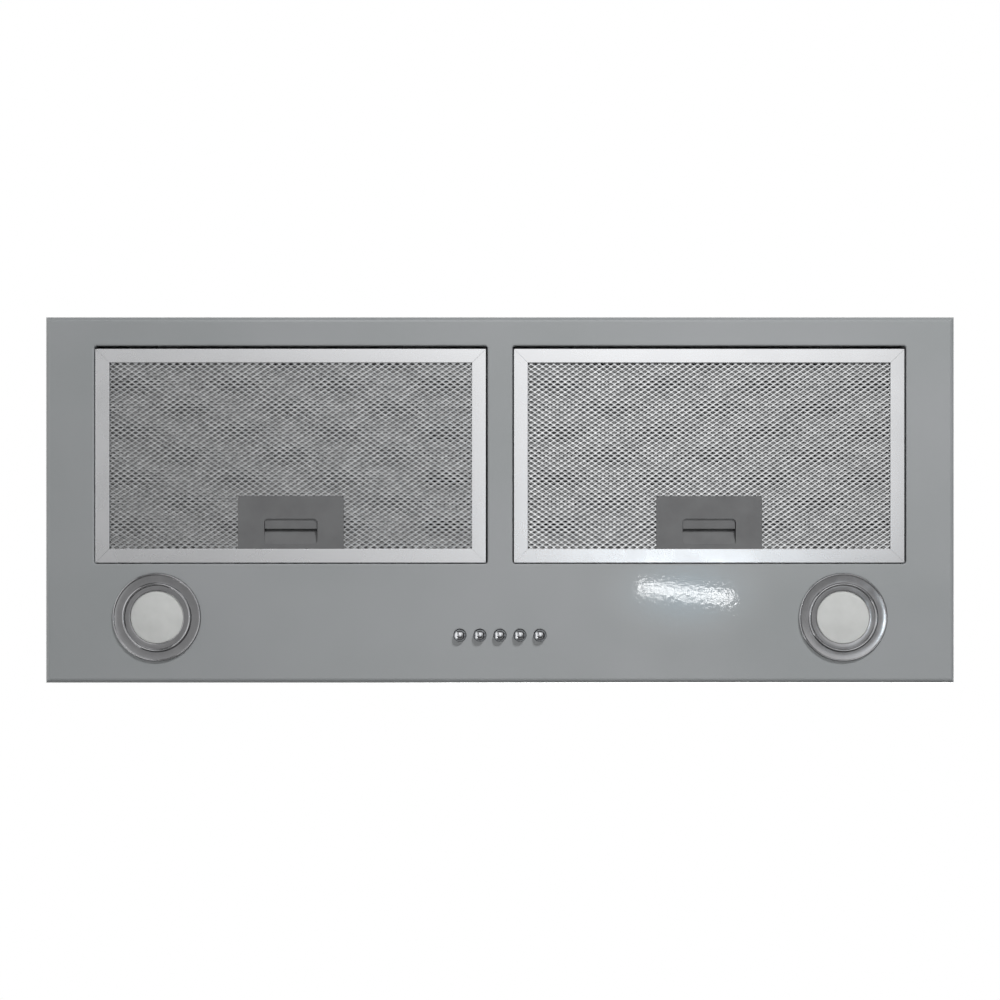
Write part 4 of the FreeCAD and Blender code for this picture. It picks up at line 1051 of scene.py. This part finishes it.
def graded(tree, light):
    """Grey on the +X side and paler on the -X side, dark toward the front and lit at the rear, with
    a bluish bloom round the strip lamp."""
    place = on_piece(tree)
    split = add_node(tree, "ShaderNodeSeparateXYZ", {"Vector": place}).outputs
    x, y = split["X"], split["Y"]
    share = ranged(tree, x, -card_half, card_half)
    across = add_node(tree, "ShaderNodeValToRGB", {"Fac": share})
    ramp = across.color_ramp
    while len(ramp.elements) < len(brightness_across):
        ramp.elements.new(0.5)
    for stop, (stop_x, value) in zip(ramp.elements, brightness_across):
        stop.position = (stop_x + card_half) / (2 * card_half)
        stop.color = (value, value, value, 1)
    along = ranged(tree, y, -0.1, 0.25, 0.87, 1.13)
    level = arithmetic(tree, "MULTIPLY", across.outputs["Color"], along)

    # Toward the front it is dimmer out to the sides, and then nearly dark.
    front = ranged(tree, arithmetic(tree, "ABSOLUTE", x), 0.34, 0.46, 0.72, 0.34)
    front = between(tree, ranged(tree, y, -0.42, -0.65), front, 0.08)
    level = between(tree, ranged(tree, y, -0.12, -0.17), level, front)

    # Toward the rear it is bright, but in shade at the +X corner.
    rear = ranged(tree, x, -0.6, -0.3, 0.85, 1.45)
    rear = between(tree, ranged(tree, x, 0.7, 0.4), 0.3, rear)
    level = between(tree, ranged(tree, y, 0.36, 0.55), level, rear)

    away = add_node(
        tree,
        "ShaderNodeMapping",
        {"Vector": place, "Location": (2.65, 2.45, 0), "Scale": (8.3, 15.4, 0)},
    )
    length = add_node(tree, "ShaderNodeVectorMath", {0: away.outputs[0]}, operation="LENGTH")
    distance = length.outputs["Value"]
    bloom = ranged(tree, distance, 0.1, 1.4, 1.0, 0.0, interpolation_type="SMOOTHSTEP")
    glow = arithmetic(tree, "MULTIPLY_ADD", bloom, 2.6, level)
    tint = add_node(tree, "ShaderNodeMix", {"Factor": bloom}, data_type="RGBA")
    tint.inputs["A"].default_value = (1, 1, 1, 1)
    tint.inputs["B"].default_value = (0.5, 0.8, 1.0, 1)
    tree.links.new(tint.outputs["Result"], light.inputs["Color"])
    tree.links.new(glow, light.inputs["Strength"])


studio_card("graded_card", (0, 0, -1.58), (2 * card_half, 2 * card_half), (0, 0, 0), graded)
wall = 2.4  # from the middle to each of the four upright cards
wall_z = -0.35
wall_height = 2.5
studio_card("flag_front", (0, -wall, wall_z), (2 * wall, wall_height), (quarter, 0, 0), 0.12)
studio_card("flag_rear", (0, wall, wall_z), (2 * wall, wall_height), (quarter, 0, 0), 0.12)
studio_card("flag_left", (-wall, 0, wall_z), (wall_height, 2 * wall), (0, quarter, 0), 0.05)
studio_card("flag_right", (wall, 0, wall_z), (wall_height, 2 * wall), (0, quarter, 0), 1.2)
lean = math.radians(52)
studio_card("window_rear", (0.48, 1.25, -1.0), (0.5, 0.5), (-lean, 0, 0), 2.5)
studio_card("window_corner", (-1.0, 1.2, -0.9), (0.4, 0.5), (-lean, 0, math.radians(40)), 2.0)
front_turn = (math.radians(55), 0, math.radians(45))
studio_card("window_front", (1.35, -1.35, -0.9), (0.3, 0.6), front_turn, 4.0)

bpy.ops.object.camera_add(location=(0, 0, -1.292), rotation=(0, math.pi, 0))
camera = bpy.context.object
camera.data.lens = 60
camera.data.sensor_width = 36
bpy.context.scene.camera = camera
bpy.context.scene.view_settings.view_transform = "Standard"
